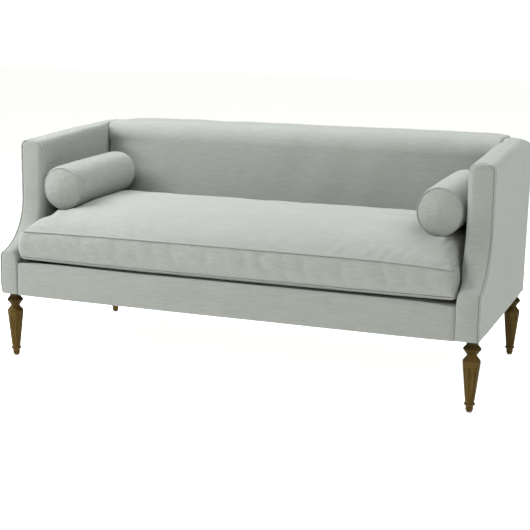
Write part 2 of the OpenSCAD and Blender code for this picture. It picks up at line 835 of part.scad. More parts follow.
// Half outline of a leg from the foot up: foot, ankle ring, shaft, shoulder, neck, ring and top
function leg_outline() = concat(
    [[0, glide_t], [foot_r - foot_bevel, glide_t], [foot_r, glide_t + foot_bevel], [foot_r, z_foot_top]],
    arc(ankle_r - ankle_bead, z_ankle, ankle_bead, -70, 70, 8),
    [[shaft_low_r, z_shaft_low], [shaft_top_r, z_shaft_top]],
    arc(leg_r - shoulder_bead, z_shoulder, shoulder_bead, -10, 50, 6),
    arc(neck_r + neck_hollow, z_neck, neck_hollow, 210, 150, 6),
    arc(leg_r - ring_bead, z_ring, ring_bead, -50, 50, 6),
    [[leg_top_r, z_ring + leg_top_h], [leg_top_r, z_base], [0, z_base]]);

// Radius of the leg shaft at a height
function shaft_r(z) = shaft_low_r
    + (shaft_top_r - shaft_low_r) * (z - z_shaft_low) / (z_shaft_top - z_shaft_low);

// Round grooves between the reeds, with round upper ends
module reed_grooves() {
    z0 = z_shaft_low + groove_low_end;
    z1 = z_shaft_top - groove_top_end;
    run = [shaft_r(z1) - shaft_r(z0), z1 - z0];
    for (i = [0 : reeds - 1]) rotate([0, 0, 360 * i / reeds]) {
        translate([shaft_r(z0), 0, z0]) rotate([0, atan(run[0] / run[1]), 0])
            cylinder(h = norm(run), r1 = groove_low_r, r2 = groove_top_r, $fn = 24);
        translate([shaft_r(z1), 0, z1]) sphere(r = groove_top_r, $fn = 24);
    }
}

// Turned leg, bored for its hanger bolt and for the nail of its glide
module leg(index) {
    color(leg_wood) translate([leg_places[index][0], leg_places[index][1], 0]) difference() {
        rotate_extrude($fn = 72) polygon(leg_outline());
        reed_grooves();
        translate([0, 0, z_base - bolt_l / 2 - bore_end])
            cylinder(h = bolt_l, r = bolt_r + bore_fit, $fn = 32);
        cylinder(h = glide_t + nail_l + bore_end, r = nail_r + bore_fit, $fn = 24);
    }
}

// Round steel plates between the legs and the blocks
module leg_plates() {
    color(steel) for (p = leg_places)
        translate([p[0], p[1], z_base]) difference() {
            cylinder(h = plate_t, r = plate_d / 2, $fn = 48);
            translate([0, 0, -1]) cylinder(h = plate_t + 2, r = bolt_r + bore_fit, $fn = 32);
        }
}

module leg_bolts() {
    color(steel) for (p = leg_places)
        translate([p[0], p[1], z_base - bolt_l / 2]) cylinder(h = bolt_l, r = bolt_r, $fn = 32);
}

// Nail-on glides under the feet
module foot_glides() {
    color(steel) for (p = leg_places) translate([p[0], p[1], 0]) {
        cylinder(h = glide_t, r = foot_r - foot_bevel, $fn = 48);
        cylinder(h = glide_t + nail_l, r = nail_r, $fn = 24);
    }
}

front_rail();
rear_rail();
side_rail(-1);  // side_rail_left
side_rail(1);  // side_rail_right
centre_brace();
leg_block_front(-1);  // leg_block_front_left
leg_block_front(1);  // leg_block_front_right
leg_block_rear(-1);  // leg_block_rear_left
leg_block_rear(1);  // leg_block_rear_right
arm_post(-1);  // arm_post_left
arm_post(1);  // arm_post_right
arm_top_rail(-1);  // arm_top_rail_left
arm_top_rail(1);  // arm_top_rail_right
arm_lower_rail(-1);  // arm_lower_rail_left
arm_lower_rail(1);  // arm_lower_rail_right
back_post(-1);  // back_post_left
back_post(1);  // back_post_right
back_top_rail();
back_lower_rail();
back_rib(-x_in);  // back_rib_outer_left
back_rib(-rib_x - rib_t / 2);  // back_rib_inner_left
back_rib(rib_x - rib_t / 2);  // back_rib_inner_right
back_rib(x_in - rib_t);  // back_rib_outer_right
seat_springs();
spring_clips();
back_webbing();
dust_cover();
seat_deck();
front_border();
arm_front(-1);  // arm_front_left
arm_front(1);  // arm_front_right
arm_welt(-1);  // arm_welt_left
arm_welt(1);  // arm_welt_right
inside_arm(-1);  // inside_arm_left
inside_arm(1);  // inside_arm_right
outside_arm(-1);  // outside_arm_left
outside_arm(1);  // outside_arm_right
inside_back();
outside_back();
cushion_cover();
cushion_core();
cushion_piping();
cushion_zip();
bolster_cover(-1);  // bolster_cover_left
bolster_cover(1);  // bolster_cover_right
bolster_core(-1);  // bolster_core_left
bolster_core(1);  // bolster_core_right
bolster_piping(-1);  // bolster_piping_left
bolster_piping(1);  // bolster_piping_right
leg(0);  // leg_front_left
leg(1);  // leg_front_right
leg(2);  // leg_rear_left
leg(3);  // leg_rear_right
leg_plates();
leg_bolts();
foot_glides();
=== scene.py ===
import math
import bmesh
import bpy
import numpy as np
from mathutils import Matrix, Vector


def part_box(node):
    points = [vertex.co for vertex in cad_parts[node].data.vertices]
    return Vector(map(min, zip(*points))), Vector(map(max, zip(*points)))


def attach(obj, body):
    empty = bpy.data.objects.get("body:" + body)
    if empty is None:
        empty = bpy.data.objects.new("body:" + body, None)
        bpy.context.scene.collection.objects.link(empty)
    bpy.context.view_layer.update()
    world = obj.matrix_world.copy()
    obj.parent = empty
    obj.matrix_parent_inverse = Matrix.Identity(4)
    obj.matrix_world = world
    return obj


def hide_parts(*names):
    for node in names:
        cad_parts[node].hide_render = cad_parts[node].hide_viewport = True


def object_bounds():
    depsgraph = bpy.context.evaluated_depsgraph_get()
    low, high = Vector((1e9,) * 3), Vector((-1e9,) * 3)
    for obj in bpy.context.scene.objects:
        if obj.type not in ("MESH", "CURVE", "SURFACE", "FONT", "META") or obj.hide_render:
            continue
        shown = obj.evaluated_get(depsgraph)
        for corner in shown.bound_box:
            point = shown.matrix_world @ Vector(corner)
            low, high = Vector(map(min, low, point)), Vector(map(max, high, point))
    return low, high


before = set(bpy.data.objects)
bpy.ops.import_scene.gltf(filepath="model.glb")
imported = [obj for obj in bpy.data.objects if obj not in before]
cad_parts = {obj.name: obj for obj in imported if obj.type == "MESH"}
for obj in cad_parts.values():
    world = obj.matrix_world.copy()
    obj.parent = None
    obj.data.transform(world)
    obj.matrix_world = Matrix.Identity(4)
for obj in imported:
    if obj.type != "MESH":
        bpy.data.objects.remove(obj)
cad_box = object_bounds()

# Seat frame: hardwood rails, a centre brace and corner blocks, glued and screwed together.
# The arm and back frames stand on it as sawn posts, top rails, tacking rails and ribs.
# All of it is bare, planed timber, hidden by the upholstery.

QUARTER = math.pi / 2
HANDS = ((-1, "left"), (1, "right"))


def on_both_sides(*names):
    return [name + hand for name in names for _, hand in HANDS]


def set_all(made, **settings):
    for name, value in settings.items():
        setattr(made, name, value)
    return made


def feed(made, inputs):
    """Fills a node's inputs: another node's output is linked, anything else is the value."""
    for label, value in inputs.items():
        socket = made.inputs[label]
        if isinstance(value, bpy.types.NodeSocket):
            made.id_data.links.new(value, socket)
        else:
            socket.default_value = (*value, 1) if socket.type == "RGBA" else value


def node(tree, kind, inputs=None, **settings):
    made = set_all(tree.nodes.new(kind), **settings)
    feed(made, inputs or {})
    return made


def effect_group(name, inputs):
    """A node group that gives colour, roughness and height, and its input and output nodes."""
    group = bpy.data.node_groups.new(name, "ShaderNodeTree")
    outputs = {"Color": "Color", "Roughness": "Float", "Height": "Float"}
    for in_out, sockets in (("INPUT", inputs), ("OUTPUT", outputs)):
        for label, kind in sockets.items():
            group.interface.new_socket(label, in_out=in_out, socket_type="NodeSocket" + kind)
    return group, node(group, "NodeGroupInput"), node(group, "NodeGroupOutput")


def stretched_noise(tree, vector, stretch, detail=2.0, roughness=0.5):
    """Noise whose spots are drawn out by scaling each axis by its own factor."""
    scaled = node(tree, "ShaderNodeVectorMath", {0: vector, 1: stretch}, operation="MULTIPLY")
    noise = node(tree, "ShaderNodeTexNoise", {"Vector": scaled.outputs[0], "Scale": 1.0,
                                              "Detail": detail, "Roughness": roughness})
    return noise.outputs["Fac"]


def spread(tree, value, low, high, to_low=0.0, to_high=1.0):
    """Stretches a value from one range to another, clamped."""
    ends = {"From Min": low, "From Max": high, "To Min": to_low, "To Max": to_high}
    return node(tree, "ShaderNodeMapRange", {"Value": value, **ends}, clamp=True).outputs["Result"]


def mix_colour(tree, share, first, second):
    return node(tree, "ShaderNodeMix", {"Factor": share, "A": first, "B": second},
                data_type="RGBA").outputs["Result"]


def calculate(tree, operation, *values):
    return node(tree, "ShaderNodeMath", dict(enumerate(values)), operation=operation).outputs[0]


def wood_grain_group():
    """Grain along Z: broad growth bands, fine streaks and short dark pores."""
    group, given, out = effect_group("wood_grain", {"Vector": "Vector", "Light": "Color",
                                                    "Dark": "Color", "Pore": "Color"})
    place = given.outputs["Vector"]
    bands = spread(group, stretched_noise(group, place, (38, 38, 4), 3), 0.3, 0.7)
    streaks = spread(group, stretched_noise(group, place, (210, 210, 9), 4), 0.35, 0.65)
    pores = spread(group, stretched_noise(group, place, (900, 900, 45), 1), 0.62, 0.72)
    share = calculate(group, "MULTIPLY_ADD", streaks, 0.45, calculate(group, "MULTIPLY", bands, 0.55))
    colour = mix_colour(group, share, given.outputs["Dark"], given.outputs["Light"])
    feed(out, {"Color": mix_colour(group, pores, colour, given.outputs["Pore"]),
               "Roughness": spread(group, streaks, 0, 1, 0.5, 0.38),
               "Height": calculate(group, "SUBTRACT", calculate(group, "MULTIPLY", streaks, 0.4), pores)})
    return group


def shader_material(name):
    """A material with its Principled shader, and the place on the piece in metres."""
    material = bpy.data.materials.new(name)
    material.use_nodes = True
    tree = material.node_tree
    return material, tree, tree.nodes["Principled BSDF"], node(tree, "ShaderNodeTexCoord").outputs["Object"]


def bumped(tree, shader, height, strength, distance):
    bump = node(tree, "ShaderNodeBump", {"Strength": strength, "Distance": distance, "Height": height})
    feed(shader, {"Normal": bump.outputs["Normal"]})


def effect_material(name, group, turn, colours, gloss, strength, depth):
    """A material whose colour, roughness and bumps come from an effect group, turned to the piece."""
    material, tree, shader, place = shader_material(name)
    turned = node(tree, "ShaderNodeMapping", {"Vector": place, "Rotation": turn}).outputs["Vector"]
    effect = node(tree, "ShaderNodeGroup", {"Vector": turned, **colours}, node_tree=group)
    feed(shader, {"Base Color": effect.outputs["Color"], "Roughness": effect.outputs["Roughness"], **gloss})
    bumped(tree, shader, effect.outputs["Height"], strength, depth)
    return material


def wood_material(name, colours, turn, depth, coat=0.0, specular=0.5):
    gloss = {"Coat Weight": coat, "Coat Roughness": 0.25, "Specular IOR Level": specular}
    return effect_material(name, wood_grain, turn, dict(zip(("Light", "Dark", "Pore"), colours)),
                           gloss, 0.5, depth)


def finish_nodes(material, *names):
    """Gives CAD nodes whose shape stays a better material."""
    for name in names:
        set_all(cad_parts[name].material_slots[0], link="OBJECT", material=material)


wood_grain = wood_grain_group()
rail_colours = ((0.56, 0.40, 0.23), (0.40, 0.26, 0.13), (0.24, 0.14, 0.07))
finish_nodes(wood_material("frame_timber_along_x", rail_colours, (0, QUARTER, 0), 0.0004),
             "front_rail", "rear_rail", "back_top_rail", "back_lower_rail")
finish_nodes(wood_material("frame_timber_along_y", rail_colours, (QUARTER, 0, 0), 0.0004),
             "centre_brace", *on_both_sides("side_rail_", "arm_top_rail_", "arm_lower_rail_"))
finish_nodes(wood_material("frame_timber_upright", rail_colours, (0, 0, 0), 0.0004),
             *on_both_sides("arm_post_", "back_post_", "leg_block_front_", "leg_block_rear_",
                            "back_rib_outer_", "back_rib_inner_"))

# Seat springs: zinc plated serpentine wires in clips, from the front rail to the rear rail.
# The plates over the legs, the hanger bolts and the nail-on glides are plated steel as well.


def plated_steel(name, bright):
    material, tree, shader, place = shader_material(name)
    clouds = stretched_noise(tree, place, (60, 60, 60), 4)
    light, dark = [[bright * c for c in colour] for colour in ((0.56, 0.56, 0.55), (0.36, 0.37, 0.37))]
    feed(shader, {"Metallic": 1.0, "Base Color": mix_colour(tree, clouds, dark, light),
                  "Roughness": spread(tree, clouds, 0.3, 0.7, 0.28, 0.45)})
    bumped(tree, shader, stretched_noise(tree, place, (700, 700, 90), 2), 0.15, 0.0002)
    return material


finish_nodes(plated_steel("plated_steel", 1.0), "seat_springs", "spring_clips", "leg_plates", "leg_bolts")
finish_nodes(plated_steel("dark_glide_steel", 0.22), "foot_glides")

# Back webbing: nine elastic straps, stapled to the top rail and the lower rail of the back.
# They are woven from black and brown yarn, with ribs across their width.


def patterned_material(name, pattern, output, inputs, first, second, roughness, strength, **settings):
    """A material whose two colours and bumps follow one pattern over the piece."""
    material, tree, shader, place = shader_material(name)
    share = node(tree, pattern, {"Vector": place, **inputs}, **settings).outputs[output]
    feed(shader, {"Base Color": mix_colour(tree, share, first, second), "Roughness": roughness})
    bumped(tree, shader, share, strength, 0.0006)
    return material


webbing = patterned_material("elastic_webbing", "ShaderNodeTexWave", "Fac", {"Scale": 160, "Distortion": 0.6},
                             (0.018, 0.017, 0.016), (0.07, 0.05, 0.035), 0.85, 0.6, bands_direction="Z")
finish_nodes(webbing, "back_webbing")

# Upholstery linen: a pale sage cloth of slubby yarn, railroaded so that its weft runs along
# the settee on the seat, back and borders, and from front to back on the arms.
# The deck under the cushion is a darker lining of the same weave, over a felt pad.

SEAM_ANGLE = math.radians(50)
ARM_SETBACK = 0.132
COVER = 0.006


def linen_weave_group():
    """Weft along X: long slubs, finer warp threads, and faint clouds of tone."""
    group, given, out = effect_group("linen_weave", {"Vector": "Vector", "Yarn": "Color",
                                                     "Pale": "Color", "Deep": "Color"})
    place = given.outputs["Vector"]
    slub = stretched_noise(group, place, (22, 420, 420), 3, 0.6)
    warp = stretched_noise(group, place, (520, 30, 30), 2, 0.55)
    yarn = stretched_noise(group, place, (90, 1400, 1400), 1)
    cloud = stretched_noise(group, place, (5, 9, 9), 2)
    colour = given.outputs["Yarn"]
    for tone, share in (("Deep", spread(group, slub, 0.50, 0.30)),
                        ("Pale", spread(group, slub, 0.52, 0.74)),
                        ("Deep", spread(group, warp, 0.58, 0.80, 0, 0.5)),
                        ("Pale", spread(group, cloud, 0.45, 0.75, 0, 0.25))):
        colour = mix_colour(group, share, colour, given.outputs[tone])
    threads = calculate(group, "ADD", calculate(group, "MULTIPLY", slub, 1.2), warp)
    feed(out, {"Color": colour, "Roughness": spread(group, yarn, 0.3, 0.7, 0.95, 0.82),
               "Height": calculate(group, "ADD", threads, calculate(group, "MULTIPLY", yarn, 0.8))})
    return group


def linen_material(name, turn=(0, 0, 0), tone=1.0):
    colours = {"Yarn": (0.223, 0.238, 0.219), "Pale": (0.250, 0.267, 0.248), "Deep": (0.192, 0.206, 0.186)}
    colours = {label: [tone * c for c in colour] for label, colour in colours.items()}
    gloss = {"Sheen Weight": 0.18, "Sheen Roughness": 0.55, "Specular IOR Level": 0.2}
    return effect_material(name, linen_weave, turn, colours, gloss, 0.55, 0.0007)


linen_weave = linen_weave_group()
linen_along_x = linen_material("sage_linen_along_x")
linen_along_y = linen_material("sage_linen_along_y", (0, 0, QUARTER))
deck_lining = linen_material("deck_lining", tone=0.42)


def placed(name, data):
    """A new object in the scene."""
    made = bpy.data.objects.new(name, data)
    bpy.context.scene.collection.objects.link(made)
    return made


def piece_from(name, points, faces, material):
    """A smooth-shaded mesh object with its faces turned outward."""
    mesh = bpy.data.meshes.new(name)
    mesh.from_pydata(np.asarray(points, float).tolist(), [], faces)
    shape = bmesh.new()
    shape.from_mesh(mesh)
    bmesh.ops.recalc_face_normals(shape, faces=shape.faces)
    shape.to_mesh(mesh)
    shape.free()
    mesh.shade_smooth()
    mesh.set_sharp_from_angle(angle=SEAM_ANGLE)
    mesh.materials.append(material)
    return placed(name, mesh)


def points_at(x, y, z):
    """Points from their three measures, any of which may be shared by a row or a grid."""
    return np.stack(np.broadcast_arrays(x, y, z), axis=-1).astype(float)


def outline_of(grid):
    """What lies once round the edge of a grid."""
    return np.concatenate([grid[0, :-1], grid[:-1, -1], grid[-1, :0:-1], grid[:0:-1, 0]])


def grid_faces(index):
    """Faces between the neighbours in a grid of point numbers."""
    corners = [index[:-1, :-1], index[:-1, 1:], index[1:, 1:], index[1:, :-1]]
    return np.stack(corners, axis=2).reshape(-1, 4).tolist()


def ring_faces(upper, lower):
    """Faces all round between two rings of point numbers."""
    return np.stack([upper, np.roll(upper, -1), np.roll(lower, -1), lower], axis=1).tolist()


def panel(name, face, back, material):
    """A closed panel from two grids of points, the seen face and the hidden back."""
    rows, columns = face.shape[:2]
    seen, hidden = np.arange(2 * rows * columns).reshape(2, rows, columns)
    faces = grid_faces(seen) + grid_faces(hidden) + ring_faces(outline_of(seen), outline_of(hidden))
    return piece_from(name, np.concatenate([face.reshape(-1, 3), back.reshape(-1, 3)]), faces, material)


def ripple(points, length, seed):
    """Gentle waves of about that length over the points, from -1 to 1."""
    source = np.random.default_rng(seed)
    total = np.zeros(points.shape[:-1])
    waves = 8
    for _ in range(waves):
        direction = source.normal(size=3)
        direction *= 2 * math.pi / length * source.uniform(0.6, 1.5) / np.linalg.norm(direction)
        total += np.sin(points @ direction + source.uniform(0, 2 * math.pi))
    return total / math.sqrt(waves * 2)


def rounding(distance, radius):
    """How far a rounded edge falls away at a distance from the edge."""
    short = np.clip(radius - distance, 0, radius)
    return radius - np.sqrt(radius * radius - short * short)


def clamped(value):
    return np.clip(value, 0, 1)


def eased(share):
    """A share from 0 to 1 that starts and ends gently."""
    share = clamped(share)
    return share * share * (3 - 2 * share)


def between(first, last, share):
    return first + (last - first) * share


def beside(distance, width):
    """A share that is 1 at a line and falls away like a bell on both sides of it."""
    return np.exp(-(distance / width) ** 2)


def fading(distance, reach):
    """A share that is 1 at an edge and fades with the distance from it."""
    return np.exp(-distance / reach)


def even_ends(start, end, count, power=1.0):
    """Places from start to end, closer together towards both ends."""
    t = np.linspace(-1, 1, count)
    t = (1 - power) * t + power * np.sin(t * QUARTER)
    return between(start, end, (t + 1) / 2)


def dressed(piece, slot, *nodes, body="settee", fill=None):
    """Attaches a piece to the empty of its body and hides the CAD nodes it stands for."""
    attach(piece, body)
    if nodes:
        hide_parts(*nodes)


# The corners of the cushion spring out into the room ahead of the arms.
border_low, border_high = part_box("front_border")
arm_inner_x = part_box("inside_arm_right")[0].x
foot_inner_x = {-1: border_high.x + 0.012, 1: border_high.x - 0.011}
front_y = border_low.y
upper_y = front_y + ARM_SETBACK
room_wide_y, room_end_y = front_y + ARM_SETBACK / 2, upper_y - 2 * COVER


def room_share(y):
    """Share of the room that an arm leaves ahead of it for the cushion's corner."""
    return eased((room_end_y - y) / (room_end_y - room_wide_y))


def room_x(y, side):
    """Inner line of an arm, further out where the corner of the cushion springs past it."""
    return between(arm_inner_x, foot_inner_x[side], room_share(y))


def seat_deck():
    low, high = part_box("seat_deck")
    front = low.y - 0.0003
    edge_drop, edge_w = 0.0165, 0.03
    end_drop, end_w = 0.009, 0.07
    lip, hollow, side_gap, least = 0.008, 0.0012, 0.0005, 0.0015
    ahead = np.concatenate([np.linspace(0, 0.06, 16), np.linspace(0.07, room_end_y + 0.01 - front, 10),
                            np.linspace(room_end_y + 0.03 - front, high.y - 0.002 - front, 20)])
    y = np.append(front, front + ahead)
    z = np.append(low.z - lip, high.z - edge_drop * beside(ahead, edge_w))
    across = np.linspace(-1, 1, 121)[:, None]
    room = np.where(across < 0, room_x(y, -1), room_x(y, 1))
    face = points_at(across * (room - side_gap), y, z)
    face[:, 3:, 2] -= hollow * (1 + ripple(face[:, 3:], 0.22, 11))
    top_z = face[:, 1:, 2]
    top_z -= end_drop * beside(room[:, :1] * (1 - np.abs(across)), end_w) * beside(ahead, edge_w)
    np.maximum(top_z, low.z + least, out=top_z)
    back = points_at(face[:, :, 0], np.clip(y, low.y + 0.004, None), low.z)
    return panel("seat_deck_pad", face, back, deck_lining)


dressed(seat_deck(), "linen", "seat_deck", fill=0.3)

# Dust cover: black non-woven cloth, stapled under the rails and cut round the leg plates.
# It hangs a little slack between the rails.

LEGS = on_both_sides("leg_front_", "leg_rear_")


def dust_cloth_material():
    material, tree, shader, place = shader_material("dust_cloth")
    fibres = stretched_noise(tree, place, (900, 900, 900), 2)
    share = spread(tree, fibres, 0.4, 0.65)
    feed(shader, {"Base Color": mix_colour(tree, share, (0.010, 0.010, 0.010), (0.035, 0.035, 0.034)),
                  "Roughness": 0.9})
    bumped(tree, shader, fibres, 0.4, 0.0003)
    return material


def dust_cover():
    margin, rail, hole_r, skin = 0.002, 0.032, 0.0215, 0.0002
    x = np.linspace(dust_low.x + margin, dust_high.x - margin, 140)[:, None]
    y = np.linspace(dust_low.y + margin, dust_high.y - margin, 70)
    under = points_at(x, y, dust_low.z + skin)
    near_rail = clamped((np.abs(x) - dust_high.x) / rail + 2)
    under[:, :, 2] += 0.0004 * ripple(under, 0.2, 5) * (1 - near_rail)
    cloth = panel("dust_cloth", under, points_at(x, y, dust_high.z - skin), black_cloth)
    cutters = []
    for leg in LEGS:
        place = sum(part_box(leg), Vector()) / 2
        bpy.ops.mesh.primitive_cylinder_add(vertices=48, radius=hole_r, depth=0.02,
                                            location=(place.x, place.y, dust_low.z))
        cutters.append(bpy.context.object)
        set_all(cloth.modifiers.new("leg_hole", "BOOLEAN"),
                operation="DIFFERENCE", solver="EXACT", object=cutters[-1])
    bpy.context.view_layer.update()
    shape = bpy.data.meshes.new_from_object(cloth.evaluated_get(bpy.context.evaluated_depsgraph_get()))
    cloth.modifiers.clear()
    cloth.data = shape
    for cutter in cutters:
        bpy.data.objects.remove(cutter)
    return cloth


black_cloth = dust_cloth_material()
dust_low, dust_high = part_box("dust_cover")
dust_cloth = dust_cover()
dressed(dust_cloth, "dust_cloth", "dust_cover")

# Front border: a strip of linen over felt on the front rail, between the two arm fronts.
# Its top edge is rolled, and it is sewn to the arm fronts at both ends.


def front_border():
    top_r, foot_r, puff, puff_w = 0.014, 0.004, 0.003, 0.03
    seam_depth, seam_w = 0.0055, 0.006
    slack, end_slack, end_w = 0.0035, 0.005, 0.05
    mid_slack, mid_x, mid_run = 0.0035, -0.60, 0.25
    right_slack, right_w = 0.003, 0.16
    hem, hem_rise, hem_w = 0.0045, 0.4, 0.1
    x = even_ends(-foot_inner_x[-1], foot_inner_x[1], 201, 0.4)[:, None]
    span = even_ends(0, 1, 31)
    end = np.minimum(x - x[0], x[-1] - x)
    top_z = border_high.z - slack - end_slack * beside(end, end_w)
    top_z -= mid_slack * clamped((x - mid_x) / mid_run) + right_slack * beside(x[-1] - x, right_w)
    low_z = border_low.z - hem * (1 - hem_rise * fading(end, hem_w))
    face = points_at(x, front_y, between(low_z, top_z, span))
    y, z = face[:, :, 1], face[:, :, 2]
    y -= puff * 4 * span * (1 - span) * (1 - fading(end, puff_w))
    y += rounding(top_z - z, top_r) * 0.5 + rounding(z - low_z, foot_r) + seam_depth * beside(end, seam_w)
    y += 0.0008 * ripple(face, 0.16, 3)
    back = points_at(x, border_high.y - 0.0005, z)
    return panel("front_border_panel", face, back, linen_along_x)


dressed(front_border(), "linen", "front_border", fill=0.4)

# Inside arms: felt and linen over the arm frame, pulled up the inner side, rolled over the top
# and down the outer edge. The front end follows the scoop of the arm, and the rear end
# runs behind the inside back.

SCOOP_LOW, SCOOP_HIGH = 0.378, 0.555
BACK_PITCH = math.radians(6)
INNER_ROLL, INNER_ROLL_REAR = 0.027, 0.012
OUTER_ROLL, OUTER_ROLL_REAR = 0.024, 0.046
OUTER_LINE = 0.050
ARM_CROWN = 0.0025
FRONT_SOFT, EDGE_R, SOFTENING = 0.022, 0.004, 0.03
FACING_T = 0.010
FOOT_PUFF = {-1: 0.011, 1: -0.003}
arm_low, arm_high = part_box("inside_arm_right")
back_low, back_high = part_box("inside_back")
settee_high = cad_box[1]
base_z, border_z = border_low.z, border_high.z
arm_front_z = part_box("arm_front_right")[1].z
arm_rise = (settee_high.z - arm_front_z) / (settee_high.y - upper_y)
scoop_r = (ARM_SETBACK ** 2 + (SCOOP_HIGH - SCOOP_LOW) ** 2) / (2 * ARM_SETBACK)
rear_low_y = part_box("outside_back")[0].y + COVER


def arm_front_y(z, inset):
    """How far forward the arm reaches at a height: foot, scoop, upper front."""
    r = scoop_r + inset
    drop = np.clip(SCOOP_HIGH - z, 0, None)
    curve = upper_y - scoop_r + np.sqrt(np.clip(r * r - drop * drop, 0, None))
    return np.maximum(np.where(drop < r, curve, front_y + inset), front_y + inset)


def front_depth(y, z):
    """How far a place lies behind the arm's front, square to it."""
    scoop = np.hypot(y - upper_y + scoop_r, np.clip(SCOOP_HIGH - z, 0, None)) - scoop_r
    return np.minimum(scoop, y - front_y)


def arm_top_z(y):
    return arm_front_z + (y - upper_y) * arm_rise


def rear_y(z):
    """How far back the settee reaches at a height."""
    lean = (settee_high.y - rear_low_y) / (settee_high.z - border_z)
    return rear_low_y + np.clip(z - border_z, 0, None) * lean


def foot_puff(side, z):
    """How far the padding at the foot of an arm swells out, more on the left."""
    puff_top, puff_run, hem_share, hem_run = SCOOP_LOW + 0.004, 0.022, 0.55, 0.03
    hem = between(hem_share, 1, clamped((z - base_z) / hem_run))
    return FOOT_PUFF[side] * eased((puff_top - z) / puff_run) * hem


def front_soft(z):
    """Radius of the arm's inner front edge, which is crisp below the deck."""
    return between(EDGE_R, FRONT_SOFT, clamped((z - border_z) / SOFTENING))


def inner_roll(y):
    """Radius of the arm's inner top edge, which tightens towards the back."""
    return between(INNER_ROLL, INNER_ROLL_REAR, clamped((y - upper_y) / (settee_high.y - upper_y)))


def arm_section(inner_r, outer_r):
    """Half-open section of the arm pad: x, share of the inner height, depth below the top."""
    points = [(arm_low.x, t, inner_r) for t in np.linspace(0, 1, 44)[:-1]]
    for a in np.linspace(0, QUARTER, 12):
        points.append((arm_low.x + inner_r * (1 - math.cos(a)), 1, inner_r * (1 - math.sin(a))))
    for t in np.linspace(0, 1, 10)[1:-1]:
        points.append((between(arm_low.x + inner_r, arm_high.x - outer_r, t), 1, -ARM_CROWN * 4 * t * (1 - t)))
    for a in np.linspace(QUARTER, 0, 14):
        points.append((arm_high.x - outer_r * (1 - math.cos(a)), 1, outer_r * (1 - math.sin(a))))
    points.append((arm_high.x, 1, OUTER_LINE))
    points.append((arm_high.x - 0.003, 1, OUTER_LINE + 0.0025))
    return np.array(points).T[:, :, None]


def corner_pull(y, z):
    """How near a place on the arm lies to the line where the inside back meets it."""
    ahead_reach, behind_reach = 0.022, 0.05
    gap = back_low.y + (z - back_low.z) * math.tan(BACK_PITCH) - y
    return np.exp(-np.clip(gap, 0, None) / ahead_reach + np.clip(gap, None, 0) / behind_reach)


def inside_arm(side):
    side_low, pad, thick = 0.334, 0.0015, 0.012
    pull_low, pull_high = 0.006, 0.015
    rear_drop_r, rear_fall, rear_run = 0.030, 0.019, 0.16
    top_swell = {-1: 0.004, 1: 0.0}[side]
    along = even_ends(0, 1, 161, 0.6)
    (x0, share, depth0), (x1, _, depth1) = [arm_section(*rolls) for rolls in (
        (INNER_ROLL, OUTER_ROLL), (INNER_ROLL_REAR, OUTER_ROLL_REAR))]
    z0 = between(side_low, arm_top_z(upper_y) - depth0, share)
    z1 = between(side_low, arm_top_z(settee_high.y) - depth1, share)
    y0, y1 = arm_front_y(z0, np.where(share < 1, FACING_T, COVER - 0.0005)), rear_y(z1)
    face = points_at(between(x0, x1, along), between(y0, y1, along), between(z0, z1, along))
    x, y, z = np.moveaxis(face, 2, 0)
    high = clamped((z - (arm_top_z(y) - OUTER_LINE)) / OUTER_LINE)
    rear_gap = settee_high.y - y
    z -= high * (rounding(rear_gap, rear_drop_r) * 0.6 + rear_fall * clamped(1 - rear_gap / rear_run) ** 1.5)
    inner = clamped((arm_low.x + 0.001 - x) / 0.001)
    depth = front_depth(y, z)
    shift = room_x(y, side) - arm_low.x + rounding(depth, front_soft(z))
    shift += 0.0007 * ripple(face, 0.15, 21) - pad * np.sin(along * math.pi)
    pull = between(pull_low, pull_high, clamped((z - SCOOP_HIGH) / (back_high.z - SCOOP_HIGH)))
    pull += 0.0016 * ripple(face * (0, 0.35, 1.0), 0.045, 23)
    pull *= corner_pull(y, z) * clamped(1 - (x - arm_low.x) / INNER_ROLL)
    x += inner * shift + pull
    z += (1 - inner) * (0.0008 * high * ripple(face, 0.18, 22) - rounding(depth - COVER, 0.003))
    z += (1 - inner) * high * top_swell * np.sin(along * math.pi) ** 0.7
    middle = (arm_low.x + arm_high.x) / 2
    inward = np.sign(middle - x) * clamped(np.abs(middle - x) / (thick * 2))
    back = points_at(x + thick * inward, y, z - thick * clamped(1 - (arm_top_z(y) - z) / INNER_ROLL))
    return face, back


def cover_both_arms(shape, name, cad_name, material, fill):
    """Panels for both arms from the shape on the right, mirrored for the left."""
    for side, hand in HANDS:
        face, back = shape(side)
        piece = panel(name + hand, face * (side, 1, 1), back * (side, 1, 1), material)
        dressed(piece, "linen", cad_name + hand, fill=fill)


cover_both_arms(inside_arm, "inside_arm_pad_", "inside_arm_", linen_along_y, 0.5)

# Arm fronts: a linen facing over felt, from the foot of the arm up the scoop to its rounded top.
# The inner edge is sewn to the inside arm, and the outer edge takes the welt.


def arm_path():
    """Places up the middle of the arm front, each with the direction that faces out."""
    foot_z = SCOOP_HIGH - math.sqrt(scoop_r ** 2 - (scoop_r - ARM_SETBACK) ** 2)
    straight_top = arm_front_z - INNER_ROLL
    places = [(front_y, z, -1.0, 0.0) for z in even_ends(base_z, foot_z, 30, 0.3)[:-1]]
    for a in np.linspace(math.acos((scoop_r - ARM_SETBACK) / scoop_r), 0, 40):
        places.append((upper_y - scoop_r + scoop_r * math.cos(a), SCOOP_HIGH - scoop_r * math.sin(a),
                       -math.cos(a), math.sin(a)))
    places += [(upper_y, z, -1.0, 0.0) for z in np.linspace(SCOOP_HIGH, straight_top, 26)[1:]]
    places += [(upper_y, straight_top + INNER_ROLL * math.sin(a), -1.0, 0.0)
               for a in np.linspace(0, QUARTER * 0.985, 14)[1:]]
    return places


